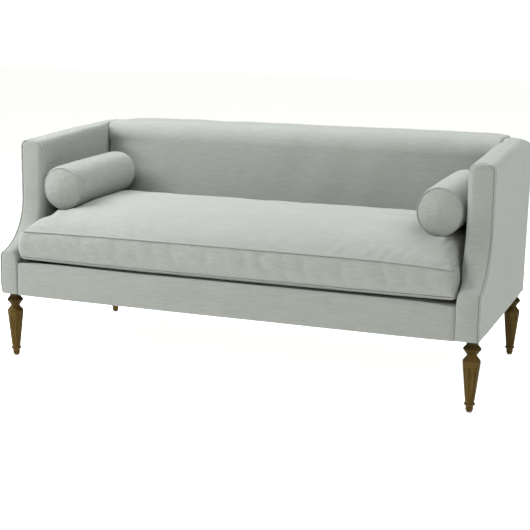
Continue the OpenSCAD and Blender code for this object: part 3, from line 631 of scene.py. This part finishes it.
def arm_front(side):
    puff, top_soft = 0.003, 0.008
    y, z, ny, nz = np.array(arm_path()).T[:, :, None]
    across = even_ends(0, 1, 33)
    soft = front_soft(z)
    turn = np.arccos(1 - FACING_T / np.maximum(soft, FACING_T))
    inner_x = room_x(y, side) + rounding(arm_front_z - z, INNER_ROLL)
    outer_x = arm_high.x - COVER - rounding(arm_front_z - COVER - z, OUTER_ROLL - COVER) + foot_puff(side, z)
    x = between(inner_x + soft * (1 - np.sin(turn)), outer_x, across)
    out = puff * np.sin(across * math.pi) ** 0.7 - rounding(x - inner_x, soft) - rounding(outer_x - x, EDGE_R)
    face = points_at(x, y + ny * out, z + nz * out)
    face[:, :, 1] += rounding(arm_front_z - face[:, :, 2], top_soft)
    face[:, :, 1] += 0.0007 * ripple(face, 0.14, 31)
    back = points_at(x, y - ny * FACING_T, z - nz * FACING_T)
    return face, back


cover_both_arms(arm_front, "arm_front_panel_", "arm_front_", linen_along_x, 0.4)

# Arm welts: linen cut on the bias and sewn round a cord. Each runs up the outer edge of an
# arm front, follows the scoop, turns over the rounded corner and ends on the arm top.


def tube_faces(count, sides, closed=False):
    """Faces of a tube made of rings of points, with a cap on each end unless it is closed."""
    rings = np.arange(count * sides).reshape(count, sides)
    faces = [face for upper, lower in zip(rings, rings[1:]) for face in ring_faces(upper, lower)]
    return faces + (ring_faces(rings[-1], rings[0]) if closed else rings[[0, -1]].tolist())


def cord_tube(name, path, radius, material, sides=10, closed=False):
    """A round tube along a path of points."""
    along = np.roll(path, -1, 0) - np.roll(path, 1, 0) if closed else np.gradient(path, axis=0)
    along /= np.linalg.norm(along, axis=1)[:, None]
    side = np.cross(along[0], (0.0, 0.0, 1.0) if abs(along[0][2]) < 0.9 else (1.0, 0.0, 0.0))
    turn = np.linspace(0, 2 * math.pi, sides, endpoint=False)[:, None]
    rings = []
    for place, direction in zip(path, along):
        side = side - direction * (side @ direction)
        side /= np.linalg.norm(side)
        rings.append(place + radius * (np.cos(turn) * side + np.sin(turn) * np.cross(direction, side)))
    return piece_from(name, np.concatenate(rings), tube_faces(len(path), sides, closed), material)


# The piping cloth is painted a little lighter than the other linen: painted light against the shade in the
# seam creases.
linen_bias = linen_material("sage_linen_bias", (0, 0, QUARTER / 2), 1.02)


def arm_welt(side, hand):
    r = COVER / 2
    end_side, end_drop = 0.004, 0.006
    path = [(arm_high.x - r + foot_puff(side, z), y - ny * r, z - nz * r)
            for y, z, ny, nz in arm_path() if z < arm_front_z - OUTER_ROLL]
    corner_x, corner_z = arm_high.x - OUTER_ROLL, arm_front_z - OUTER_ROLL
    bend = OUTER_ROLL - r
    for a in np.linspace(0, QUARTER, 14):
        path.append((corner_x + bend * math.cos(a), upper_y + r, corner_z + bend * math.sin(a)))
    end_x = between(arm_low.x, arm_high.x, 1 / 3)
    for t in np.linspace(0, 1, 12)[1:]:
        path.append((between(corner_x, end_x, t), upper_y + r + end_side * t ** 4,
                     arm_front_z - r - end_drop * t ** 4))
    return cord_tube("arm_welt_cord_" + hand, np.array(path) * (side, 1, 1), r, linen_bias)


for side, hand in HANDS:
    dressed(arm_welt(side, hand), "linen_piping", "arm_welt_" + hand)

# Outside arms: one flat piece of linen over backing cloth on each side, blind-stitched
# under the rolled top, behind the welt and to the outside back.


def outside_arm(side):
    swell, hem_r, welt_r, puff_reach = 0.001, 0.004, 0.001, 0.07
    length, to_full = 0.7, 6.75
    rows, columns = even_ends(0, 1, 61, 0.5)[:, None], even_ends(0, 1, 81, 0.5)
    z0, z1 = [between(base_z, arm_top_z(y) - OUTER_LINE, rows) for y in (upper_y, settee_high.y)]
    face = points_at(arm_high.x, between(arm_front_y(z0, COVER), rear_y(z1), columns),
                     between(z0, z1, columns))
    x, y, z = np.moveaxis(face, 2, 0)
    share = rows * (1 - rows) ** 2 * to_full * np.sin(columns * math.pi) ** 0.8
    x += swell * share + 0.0006 * ripple(face, 0.2, 41) * share
    x -= rounding(z - base_z, hem_r)
    x -= rounding(columns * length, welt_r) + rounding((1 - columns) * length, hem_r)
    x += foot_puff(side, z) * beside(y - arm_front_y(z, COVER), puff_reach)
    back = points_at(arm_high.x - COVER, y, z)
    return face, back


cover_both_arms(outside_arm, "outside_arm_panel_", "outside_arm_", linen_along_y, 0.2)

# Inside back: thick felt and linen over the webbing, with a soft roll over the top rail.
# It is pulled in along the deck and into the corners with the arms.

BACK_ROLL = 0.080
ROLL_Z = back_high.z - BACK_ROLL
BACK_LINE = back_high.z - 0.050


def back_profile():
    """Places from the deck up the slanted face, over the roll and down the rear edge."""
    rear_r = 0.022
    rear = float(rear_y(back_high.z))
    roll_y = back_low.y + (ROLL_Z - back_low.z) * math.tan(BACK_PITCH) + BACK_ROLL / math.cos(BACK_PITCH)
    slant_y = roll_y - BACK_ROLL * math.cos(BACK_PITCH)
    slant_z = ROLL_Z + BACK_ROLL * math.sin(BACK_PITCH)
    places = [(between(back_low.y, slant_y, t), between(back_low.z, slant_z, t))
              for t in np.linspace(0, 1, 30)[:-1]]
    for a in np.linspace(math.pi - BACK_PITCH, QUARTER, 26):
        places.append((roll_y + BACK_ROLL * math.cos(a), ROLL_Z + BACK_ROLL * math.sin(a)))
    places += [(y, back_high.z) for y in np.linspace(roll_y, rear - rear_r, 8)[1:]]
    for a in np.linspace(QUARTER, 0, 9)[1:]:
        places.append((rear - rear_r + rear_r * math.cos(a), back_high.z - rear_r + rear_r * math.sin(a)))
    places.append((float(rear_y(BACK_LINE)), BACK_LINE))
    return np.array(places)


def inside_back():
    sink, top_sink, lap = 0.004, 0.004, 0.001
    thick, rear_thin = 0.030, 0.014
    puff, end_r = 0.008, 0.010
    shoulder, shoulder_reach = 0.007, 0.04
    fill_left, fill_right, fill_reach = 0.030, 0.016, 0.06
    profile = back_profile()
    along = np.gradient(profile, axis=0)
    along /= np.linalg.norm(along, axis=1)[:, None]
    y, z, oy, oz = np.column_stack([profile, -along[:, 1], along[:, 0]]).T[:, :, None]
    shares = even_ends(-1, 1, 221, 0.45)
    reach = arm_low.x + np.minimum(rounding(arm_top_z(y) - z, inner_roll(y)), lap) + sink
    reach = reach + top_sink * clamped((z - ROLL_Z) / BACK_ROLL)
    x = reach * shares
    end = reach - np.abs(x)
    height = clamped((z - back_low.z) / (back_high.z - back_low.z))
    out = puff * (1 - shares ** 4) * np.sin(math.pi * height) ** 0.5 - rounding(end, end_r) * 0.5
    out -= shoulder * fading(end, shoulder_reach) * np.maximum(0.0, oz) ** 2
    corner = np.where(shares < 0, fill_left, fill_right) * fading(end, fill_reach)
    out += (oy < 0) * corner * np.maximum(0.0, np.sin(math.pi * (z - ROLL_Z) / BACK_ROLL))
    face = points_at(x, y + oy * out, z + oz * out)
    thickness = thick - rear_thin * np.maximum(0.0, oy)
    back = points_at(x, y - oy * thickness, z - oz * thickness)
    wave = 0.0012 * ripple(face * (1.0, 1.0, 0.6), 0.17, 51)
    face[:, :, 1] += wave * oy
    face[:, :, 2] += wave * oz
    return panel("inside_back_pad", face, back, linen_along_x)


dressed(inside_back(), "linen", "inside_back", fill=0.6)

# Outside back: one piece of linen over backing cloth, blind-stitched along the top roll
# and both sides, and stapled under the rear rail. It rises a little behind the arm ends.


def outside_back():
    low_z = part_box("outside_back")[0].z
    edge_gap_x, edge_r, swell, arm_end_share = 0.001, 0.004, 0.003, 0.32
    rise_start, rise_run = 0.010, 0.008
    x = even_ends(-arm_high.x + edge_gap_x, arm_high.x - edge_gap_x, 261, 0.5)[:, None]
    span = even_ends(0, 1, 61, 0.5)
    end = arm_high.x - np.abs(x)
    behind_arm = clamped((np.abs(x) - arm_low.x + rise_start) / rise_run)
    arm_end = (OUTER_LINE - rounding(end, OUTER_ROLL_REAR)) * arm_end_share
    z = between(low_z, BACK_LINE + arm_end * behind_arm, span)
    face = points_at(x, rear_y(z), z)
    share = clamped(1 - (x / arm_high.x) ** 6) * np.sin(span * math.pi) ** 0.6
    face[:, :, 1] += swell * share + 0.0007 * ripple(face, 0.25, 61) * share
    face[:, :, 1] -= rounding(z - low_z, edge_r) + rounding(end, edge_r)
    return panel("outside_back_panel", face, points_at(x, rear_y(z) - COVER, z), linen_along_x)


dressed(outside_back(), "linen", "outside_back", fill=0.2)

# Legs: turned hardwood, reeded on the tapered shaft, stained a medium brown and waxed.
# Each has a ring and a neck at the top, a round shoulder, and a bead above the foot.


def darker_above(material, low_z, high_z, most, stain_and_shade):
    """Darker towards the top of a leg: partly stain gathered in the turnings, partly painted shade under the
    seat frame.
    """
    tree = material.node_tree
    shader = tree.nodes["Principled BSDF"]
    colour = shader.inputs["Base Color"].links[0].from_socket
    place = node(tree, "ShaderNodeTexCoord").outputs["Object"]
    height = node(tree, "ShaderNodeSeparateXYZ", {0: place}).outputs["Z"]
    share = spread(tree, height, low_z, high_z, 0, most)
    feed(shader, {"Base Color": mix_colour(tree, share, colour, stain_and_shade)})


leg_colours = ((0.100, 0.062, 0.012), (0.036, 0.021, 0.005), (0.012, 0.007, 0.002))
leg_wood = wood_material("stained_leg_wood", leg_colours, (0, 0, 0), 0.0003, coat=0.02, specular=0.05)
# The top of each leg is painted darker: stain in the turnings and painted shade under the seat frame.
darker_above(leg_wood, 0.176, 0.190, 0.55, leg_colours[2])
finish_nodes(leg_wood, *LEGS)

# Seat cushion core: a block of foam with softened edges, wrapped in feather and fibre.


def foam_material(name, light, dark, cells_per_metre):
    return patterned_material(name, "ShaderNodeTexVoronoi", "Distance", {"Scale": cells_per_metre},
                              light, dark, 0.95, 0.4)


def foam_block(low, high, soft):
    shape = bmesh.new()
    bmesh.ops.create_cube(shape, size=1, matrix=Matrix.LocRotScale((low + high) / 2, None, high - low))
    bmesh.ops.bevel(shape, geom=list(shape.edges), offset=soft, segments=5, profile=0.5, affect="EDGES")
    shape.verts.index_update()
    points = [list(vertex.co) for vertex in shape.verts]
    faces = [[vertex.index for vertex in face.verts] for face in shape.faces]
    shape.free()
    return piece_from("cushion_foam_block", points, faces, cushion_foam)


cushion_foam = foam_material("cushion_foam", (0.78, 0.70, 0.52), (0.52, 0.44, 0.28), 450)
dressed(foam_block(*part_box("cushion_core"), 0.012), "core", "cushion_core", body="seat_cushion", fill=0.9)

# Seat cushion cover: one bench cushion of linen, cut as a top, a bottom and a border.
# The feather wrap crowns the top and swells the border between its two corded seams,
# and the bolsters press into its ends.

SEAM_INSET, SEAM_LIFT = 0.0043, 0.011
BORDER_H = 0.088
CROWN, CROWN_PEAK = 0.093, 0.25
CROWN_END_LEFT, CROWN_END_RIGHT, CROWN_FRONT, CROWN_REAR = 34, 60, 3.1, 12
SIDE_DRAW = 0.004
CORNER_R, LOW_CORNER_R = 0.022, 0.010
TOP_SPRING, LOW_SPRING = (0.030, 0.004), (0.030, 0.013)
DIP_LEFT, DIP_RIGHT = 0.004, 0.013
BORDER_SWELL, END_SWELL = 0.012, 0.007
FRONT_SAG = 0.0155
BOLSTER_R, BOLSTER_HALF = 0.078, 0.212
BOLSTER_TILT = {-1: math.radians(3.4), 1: math.radians(2.2)}
BOLSTER_SHIFT = {-1: Vector((-0.006, 0.006, 0.005)), 1: Vector((-0.003, 0.006, 0.009))}
SIM_FRAMES = 20
cushion_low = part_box("cushion_cover")[0]
piping_low, piping_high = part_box("cushion_piping")
cushion_half_x = arm_inner_x - COVER - SEAM_INSET
cushion_half_y = (piping_high.y - piping_low.y) / 2 - SEAM_INSET
cushion_mid_y = (piping_high.y + piping_low.y) / 2
low_seam_z = cushion_low.z + SEAM_LIFT
top_seam_z = low_seam_z + BORDER_H


def seam_plan(u, v, corner_r, spring_out):
    """Place of the cushion's outline, with round corners and drawn in between them."""
    spring = np.where(u < 0, spring_out[0], spring_out[1]) * np.abs(u) ** 6
    spring = spring * room_share(cushion_mid_y + cushion_half_y * v)
    x = (cushion_half_x - SIDE_DRAW * (1 - v * v) * np.abs(u)) * u + np.sign(u) * spring
    y = cushion_mid_y + (cushion_half_y - SIDE_DRAW * (1 - u * u) * np.abs(v)) * v
    near_end = clamped(1 - (1 - np.abs(u)) * cushion_half_x / corner_r)
    near_side = clamped(1 - (1 - np.abs(v)) * cushion_half_y / corner_r)
    x -= np.sign(u) * corner_r * near_end * (1 - np.sqrt(1 - near_side ** 2 / 2))
    y -= np.sign(v) * corner_r * near_side * (1 - np.sqrt(1 - near_end ** 2 / 2))
    return x, y


def edge_gap(u, v):
    """Distance of a place on the cushion's top from the nearest seam."""
    return np.minimum((1 - np.abs(u)) * cushion_half_x, (1 - np.abs(v)) * cushion_half_y)


def crown_share(u, v):
    """Share of the full crown: flat over the middle, falling to the seams."""
    across = 1 - np.abs(u) ** np.where(u < 0, CROWN_END_LEFT, CROWN_END_RIGHT)
    ahead = clamped((CROWN_PEAK - v) / (1 + CROWN_PEAK)) ** CROWN_FRONT
    behind = clamped((v - CROWN_PEAK) / (1 - CROWN_PEAK)) ** CROWN_REAR
    return across * (1 - ahead) * (1 - behind)


def bolster_place(side):
    """Middle of a bolster and the direction of its length, from the front end to the rear."""
    low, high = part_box("bolster_cover_" + dict(HANDS)[side])
    tilt = BOLSTER_TILT[side]
    return (low + high) / 2 + BOLSTER_SHIFT[side], Vector((0, math.cos(tilt), math.sin(tilt)))


def bolster_dent(x, y, z):
    """Presses the cushion top down under each bolster, with a crease along both sides of it."""
    radius, run_out = BOLSTER_R + 0.0004, 0.012
    crease, crease_w, crease_start, crease_run = 0.007, 0.010, 0.5, 0.3
    for side, _ in HANDS:
        middle, along = bolster_place(side)
        step = (y - middle.y) / along.y
        centre_z = middle.z + step * along.z
        aside = np.abs(x - middle.x)
        floor = centre_z - np.sqrt(np.clip(radius ** 2 - aside ** 2, 0, None))
        near = clamped((BOLSTER_HALF + run_out - np.abs(step)) / run_out)
        z = np.where((aside < radius) & (near > 0), np.minimum(z, floor), z)
        gap = np.clip(np.hypot(aside, z - centre_z) - radius, 0, None)
        beneath = clamped((aside / radius - crease_start) / crease_run)
        z = z - crease * near * fading(gap, crease_w) * beneath
    return z


def cushion_sides():
    """The top and the bottom of the cushion as grids of points, and each point's shares."""
    pucker, pucker_reach, seam_hold = 0.0011, 0.03, 0.006
    sag_w, hem_reach, hem_share, lift_reach = 0.03, 0.005, 0.3, 0.007
    sag_fall_left, sag_fall_right = 0.5, 0.3
    v, u = np.meshgrid(even_ends(-1, 1, 91), even_ends(-1, 1, 181), indexing="ij")
    x, y = seam_plan(u, v, CORNER_R, TOP_SPRING)
    crown, edge = crown_share(u, v), edge_gap(u, v)
    dip = np.where(u < 0, DIP_LEFT, DIP_RIGHT) * np.abs(u) ** 5
    top_z = top_seam_z - dip * v * v + CROWN * crown
    grid = points_at(x, y, top_z)
    top_z = top_z + 0.0016 * ripple(grid, 0.16, 71) * crown
    pucker = pucker * ripple(grid * (1.0, 1.0, 0.0), 0.035, 72) * fading(edge, pucker_reach)
    top_z = bolster_dent(x, y, top_z + pucker * (1 - fading(edge, seam_hold)))
    behind = (1 + v) * cushion_half_y
    belly = FRONT_SAG * beside(behind, sag_w) * (1 - hem_share * fading(behind, hem_reach))
    belly *= 1 - np.where(u < 0, sag_fall_left, sag_fall_right) * np.abs(u) ** 3
    low_z = cushion_low.z + SEAM_LIFT * fading(edge, lift_reach) - belly
    return points_at(x, y, top_z), points_at(*seam_plan(u, v, LOW_CORNER_R, LOW_SPRING), low_z), u, v


def cushion_cover():
    steps, border_wave, fullness, end_facing = 12, 0.0012, 0.75, 0.7
    top, low, u, v = cushion_sides()
    rows, columns = u.shape
    cells = rows * columns
    top_ring, low_ring = outline_of(top), outline_of(low)
    count = len(top_ring)
    along = np.roll(top_ring, -2, axis=0) - np.roll(top_ring, 2, axis=0)
    outward = np.stack([along[:, 1], -along[:, 0]], axis=1)
    outward /= np.linalg.norm(outward, axis=1)[:, None]
    rings = []
    for t in np.arange(1, steps) / steps:
        ring = top_ring * (1 - t) + low_ring * t
        swell = math.sin(math.pi * t) ** fullness * between(BORDER_SWELL, END_SWELL, clamped(outward[:, 0]))
        ring[:, :2] += outward * (swell + border_wave * ripple(ring, 0.09, 73))[:, None]
        rings.append(ring)
    points = np.concatenate([top.reshape(-1, 3), low.reshape(-1, 3), *rings])
    over, under = np.arange(2 * cells).reshape(2, rows, columns)
    levels = [outline_of(over), *np.arange(2 * cells, len(points)).reshape(-1, count), outline_of(under)]
    faces = grid_faces(over) + grid_faces(under)
    border_start = len(faces)
    for upper, lower in zip(levels, levels[1:]):
        faces += ring_faces(upper, lower)
    piece = piece_from("seat_cushion_cover", points, faces, linen_cushion)
    piece.data.materials.append(linen_cushion_end)
    for face in piece.data.polygons:
        if face.index >= border_start and abs(face.normal.x) > end_facing:
            face.material_index = 1
    border_gap = [np.full(count, min(t, steps - t) / steps * BORDER_H) for t in range(1, steps)]
    from_seam = np.concatenate([edge_gap(u, v).ravel(), np.zeros(cells), *border_gap])
    plumped(piece, from_seam, 0.012, most=0.006, pressure=4.0, slack=0.006)
    place = places_of(piece.data)
    place[:cells, 2] = bolster_dent(*place[:cells].T)
    move_to(piece.data, place)
    return piece, top_ring, low_ring, outward


def places_of(mesh):
    return np.array([vertex.co for vertex in mesh.vertices])


def move_to(mesh, place):
    mesh.vertices.foreach_set("co", place.ravel())
    mesh.update()


def plumped(piece, from_seam, held_w, most, pressure, slack):
    """Blows a cover up on its filling as soft cloth, held at its seams, and caps each move."""
    full_hold, least_move = 1.15, 1e-6
    held = clamped(full_hold - from_seam / held_w)
    rest = places_of(piece.data)
    seams = piece.vertex_groups.new(name="seams")
    for level in range(1, 11):
        rows = np.flatnonzero(np.round(held * 10) == level)
        seams.add([int(i) for i in rows], level / 10, "REPLACE")
    filling = piece.modifiers.new("filling", "CLOTH")
    set_all(filling.settings, quality=5, mass=0.25, use_pressure=True, uniform_pressure_force=pressure,
            vertex_group_mass="seams", pin_stiffness=1, tension_stiffness=12, compression_stiffness=12,
            shear_stiffness=3, bending_stiffness=0.4, shrink_min=-slack)
    filling.settings.effector_weights.gravity = 0
    filling.collision_settings.use_collision = False
    for step in range(1, SIM_FRAMES + 1):
        bpy.context.scene.frame_set(step)
    shaped = piece.evaluated_get(bpy.context.evaluated_depsgraph_get()).to_mesh()
    move = places_of(shaped) - rest
    piece.modifiers.clear()
    piece.vertex_groups.clear()
    bpy.context.scene.frame_set(1)
    far = np.linalg.norm(move, axis=1)[:, None]
    move_to(piece.data, rest + move * most * np.tanh(far / most) / np.maximum(far, least_move))


linen_cushion = linen_material("sage_linen_cushion", tone=1.04)
linen_cushion_end = linen_material("sage_linen_cushion_end", (0, 0, QUARTER), 1.04)
cushion, top_ring, low_ring, seam_outward = cushion_cover()
dressed(cushion, "cushion_linen", "cushion_cover", body="seat_cushion", fill=0.7)

# Cushion piping: a thin cord in bias-cut linen, sewn into both seams of the cushion.


def joined(tubes):
    bpy.ops.object.select_all(action="DESELECT")
    for tube in tubes:
        tube.select_set(True)
    bpy.context.view_layer.objects.active = tubes[0]
    bpy.ops.object.join()
    return tubes[0]


def seam_piping():
    piping_r, proud, lift = 0.002, 0.8, 0.0006
    tubes = []
    for ring, rise in ((top_ring, lift), (low_ring, -lift)):
        path = ring + np.column_stack([seam_outward * (piping_r * proud), np.full(len(ring), rise)])
        tubes.append(cord_tube("cushion_piping_cord", path, piping_r, linen_bias, 8, True))
    return joined(tubes)


dressed(seam_piping(), "linen_piping", "cushion_piping", body="seat_cushion")

# Cushion zip: a nylon coil on a woven tape in the rear border, closed by a small slider.


def cushion_zip():
    low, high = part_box("cushion_zip")
    coil_r, wire_r, ridge, turns, margin = 0.0009, 0.0004, 0.0004, 160, 0.004
    middle = (low.z + high.z) / 2
    x, z = np.linspace(low.x, high.x, 161)[:, None], np.linspace(low.z, high.z, 9)
    face = points_at(x, high.y - 0.0004 + ridge * beside(z - middle, 0.0015), z)
    tape = panel("cushion_zip_tape", face, points_at(x, low.y, z), linen_along_x)
    share = np.linspace(0, 1, turns * 8 + 1)
    angle = share * 2 * math.pi * turns
    coil = points_at(low.x + margin + share * (high.x - low.x - 2 * margin),
                     high.y + coil_r * np.cos(angle), middle + 2 * coil_r * np.sin(angle))
    return tape, cord_tube("cushion_zip_coil", coil, wire_r, black_cloth, 5)


zip_tape, zip_coil = cushion_zip()
dressed(zip_tape, "cushion_linen", "cushion_zip", body="seat_cushion")
dressed(zip_coil, "cushion_linen", body="seat_cushion")

# Bolsters: a linen tube with a round puffed end on each side and a thin cord in both end seams.
# Inside each is a roll of feather and fibre. They lie loose on the ends of the seat cushion.

FRONT_RIM, REAR_RIM = {-1: 0.006, 1: 0.0035}, 0.010
BOLSTER_SQUASH = {-1: (1, 1, 1, 1), 1: (0.955, 1, 1.02, 1)}


def bolster_frame(side):
    """Turns points of an upright roll into the place of a bolster."""
    middle, along = bolster_place(side)
    squash = Matrix.Diagonal(BOLSTER_SQUASH[side])
    return Matrix.Translation(middle) @ squash @ along.to_track_quat("Z", "X").to_matrix().to_4x4()


def bolster_roll(name, side, radius, half, domes, rims, material, end_material):
    """A filled tube: domed ends, rims that turn in softly, small gathers along the end seams."""
    sides, tip_r, dome_fall = 144, 0.0008, 2.4
    gathers, gather_reach, seam_hold, slack = 0.0020, 0.03, 0.008, 0.0014
    caps, body = np.linspace(0, 1, 20), even_ends(-1, 1, 71, 0.9)
    front_r, rear_r = [np.maximum((radius - rim) * caps, tip_r) for rim in rims]
    rim = np.where(body < 0, rims[0], rims[1])
    turn_in = rim * (0.7 * np.abs(body) ** np.where(body < 0, 30, 20) + 0.3 * body ** 4)
    radii = np.concatenate([front_r[:-1], radius - turn_in, rear_r[-2::-1]])[:, None]
    dome = 1 - caps ** dome_fall
    heights = np.concatenate([-half - domes[0] * dome[:-1], half * body,
                              half + domes[1] * dome[-2::-1]])[:, None]
    angle = np.linspace(0, 2 * math.pi, sides, endpoint=False)
    rings = points_at(radii * np.cos(angle), radii * np.sin(angle), heights)
    from_seam = np.abs(np.abs(heights) - half)
    gather = ripple(rings * (1.0, 1.0, 0.15), 0.030, 81 + side) * fading(from_seam, gather_reach)
    swell = gathers * gather * (1 - fading(from_seam, seam_hold))
    swell = (swell + slack * ripple(rings * (1.0, 1.0, 0.4), 0.12, 84 + side)) * (radii > 0.01)
    rings[:, :, :2] *= (1 + swell / np.maximum(radii, 0.01))[:, :, None]
    count = len(rings)
    piece = piece_from(name, rings.reshape(-1, 3), tube_faces(count, sides), material)
    piece.data.materials.append(end_material)
    for face in piece.data.polygons:
        if not len(caps) - 1 <= face.index // sides < count - len(caps):
            face.material_index = 1
    piece.data.transform(bolster_frame(side))
    if material is linen_bolster:
        plumped(piece, np.repeat(from_seam[:, 0], sides), 0.010, most=0.005, pressure=5.0, slack=0.012)
    return piece


def bolster_piping(side, hand):
    cord_r, proud, beyond = 0.0016, 0.0006, 0.0008
    angle = np.linspace(0, 2 * math.pi, 120, endpoint=False)
    tubes = []
    for end, rim in ((-1, FRONT_RIM[side]), (1, REAR_RIM)):
        r = BOLSTER_R - rim + proud
        ring = points_at(r * np.cos(angle), r * np.sin(angle), end * (BOLSTER_HALF + beyond))
        tubes.append(cord_tube("bolster_cord_" + hand, ring, cord_r, linen_bias, 8, True))
        tubes[-1].data.transform(bolster_frame(side))
    return joined(tubes)


feather_ticking = foam_material("feather_ticking", (0.80, 0.78, 0.72), (0.62, 0.60, 0.53), 900)
linen_bolster = linen_material("sage_linen_bolster", (0, 0, QUARTER), 1.03)
linen_bolster_end = linen_material("sage_linen_bolster_end", tone=1.03)
for side, hand in HANDS:
    body = "bolster_" + hand
    cover = bolster_roll("bolster_" + hand, side, BOLSTER_R, BOLSTER_HALF, (0.016, 0.022),
                         (FRONT_RIM[side], REAR_RIM), linen_bolster, linen_bolster_end)
    cord = bolster_piping(side, hand)
    roll = bolster_roll("bolster_filling_" + hand, side, 0.060, 0.190, (0.008, 0.008), (0.012, 0.012),
                        feather_ticking, feather_ticking)
    dressed(cover, "bolster_linen", "bolster_cover_" + hand, body=body, fill=0.8)
    dressed(cord, "linen_piping", "bolster_piping_" + hand, body=body)
    dressed(roll, "core", "bolster_core_" + hand, body=body, fill=0.7)

# Studio: a plain pale floor that runs on to the horizon, soft boxes above and to the left,
# and the camera at the height and angle of the photograph.


def studio_floor():
    bpy.ops.mesh.primitive_plane_add(size=60, location=(0, 0, 0))
    floor = bpy.context.object
    floor.name = "studio_floor"
    material, tree, shader, place = shader_material("pale_floor")
    feed(shader, {"Base Color": (0.8, 0.8, 0.8), "Roughness": 0.8,
                  "Emission Color": (1, 1, 0.965), "Emission Strength": 0.97})
    floor.data.materials.append(material)


def studio_walls():
    """A white backdrop that the camera sees, and that gives only a dim even light."""
    wall_light = 0.02
    walls = bpy.data.worlds.new("studio_walls")
    walls.use_nodes = True
    tree = walls.node_tree
    seen = node(tree, "ShaderNodeLightPath").outputs["Is Camera Ray"]
    feed(tree.nodes["Background"], {"Strength": spread(tree, seen, 0, 1, wall_light, 1.0), "Color": (1, 1, 1)})
    bpy.context.scene.world = walls


def soft_box(name, place, size, power, colour):
    """A rectangular lamp that faces the seat."""
    lamp = set_all(bpy.data.lights.new(name, "AREA"), shape="RECTANGLE",
                   size=size[0], size_y=size[1], energy=power, color=colour)
    holder = placed(name, lamp)
    holder.location = place
    holder.rotation_euler = (Vector((0, 0, 0.4)) - Vector(place)).to_track_quat("-Z", "Y").to_euler()


def camera():
    yaw, pitch, roll = math.radians(20.7511), math.radians(10.9242), math.radians(-0.9833)
    place = Matrix.Translation((1.45364, -3.89319, 1.12573))
    lens = set_all(bpy.data.cameras.new("photo_camera"), sensor_width=36, lens=80.13)
    holder = placed("photo_camera", lens)
    holder.matrix_world = (place @ Matrix.Rotation(yaw, 4, "Z") @ Matrix.Rotation(QUARTER - pitch, 4, "X")
                           @ Matrix.Rotation(-roll, 4, "Z"))
    bpy.context.scene.camera = holder


studio_floor()
soft_box("top_left_softbox", (-2.2, -0.8, 2.6), (1.6, 1.6), 160, (1.0, 0.995, 1.018))
soft_box("front_softbox", (0.3, -3.4, 2.6), (2.4, 1.6), 63, (1.02, 1.0, 0.95))
soft_box("rear_softbox", (0.6, 1.2, 3.0), (3.0, 1.6), 76, (0.995, 1.0, 1.035))
soft_box("top_right_softbox", (2.2, -0.4, 2.8), (1.8, 1.8), 44, (0.98, 1.0, 0.98))
studio_walls()
bpy.context.scene.view_settings.view_transform = "Standard"
camera()
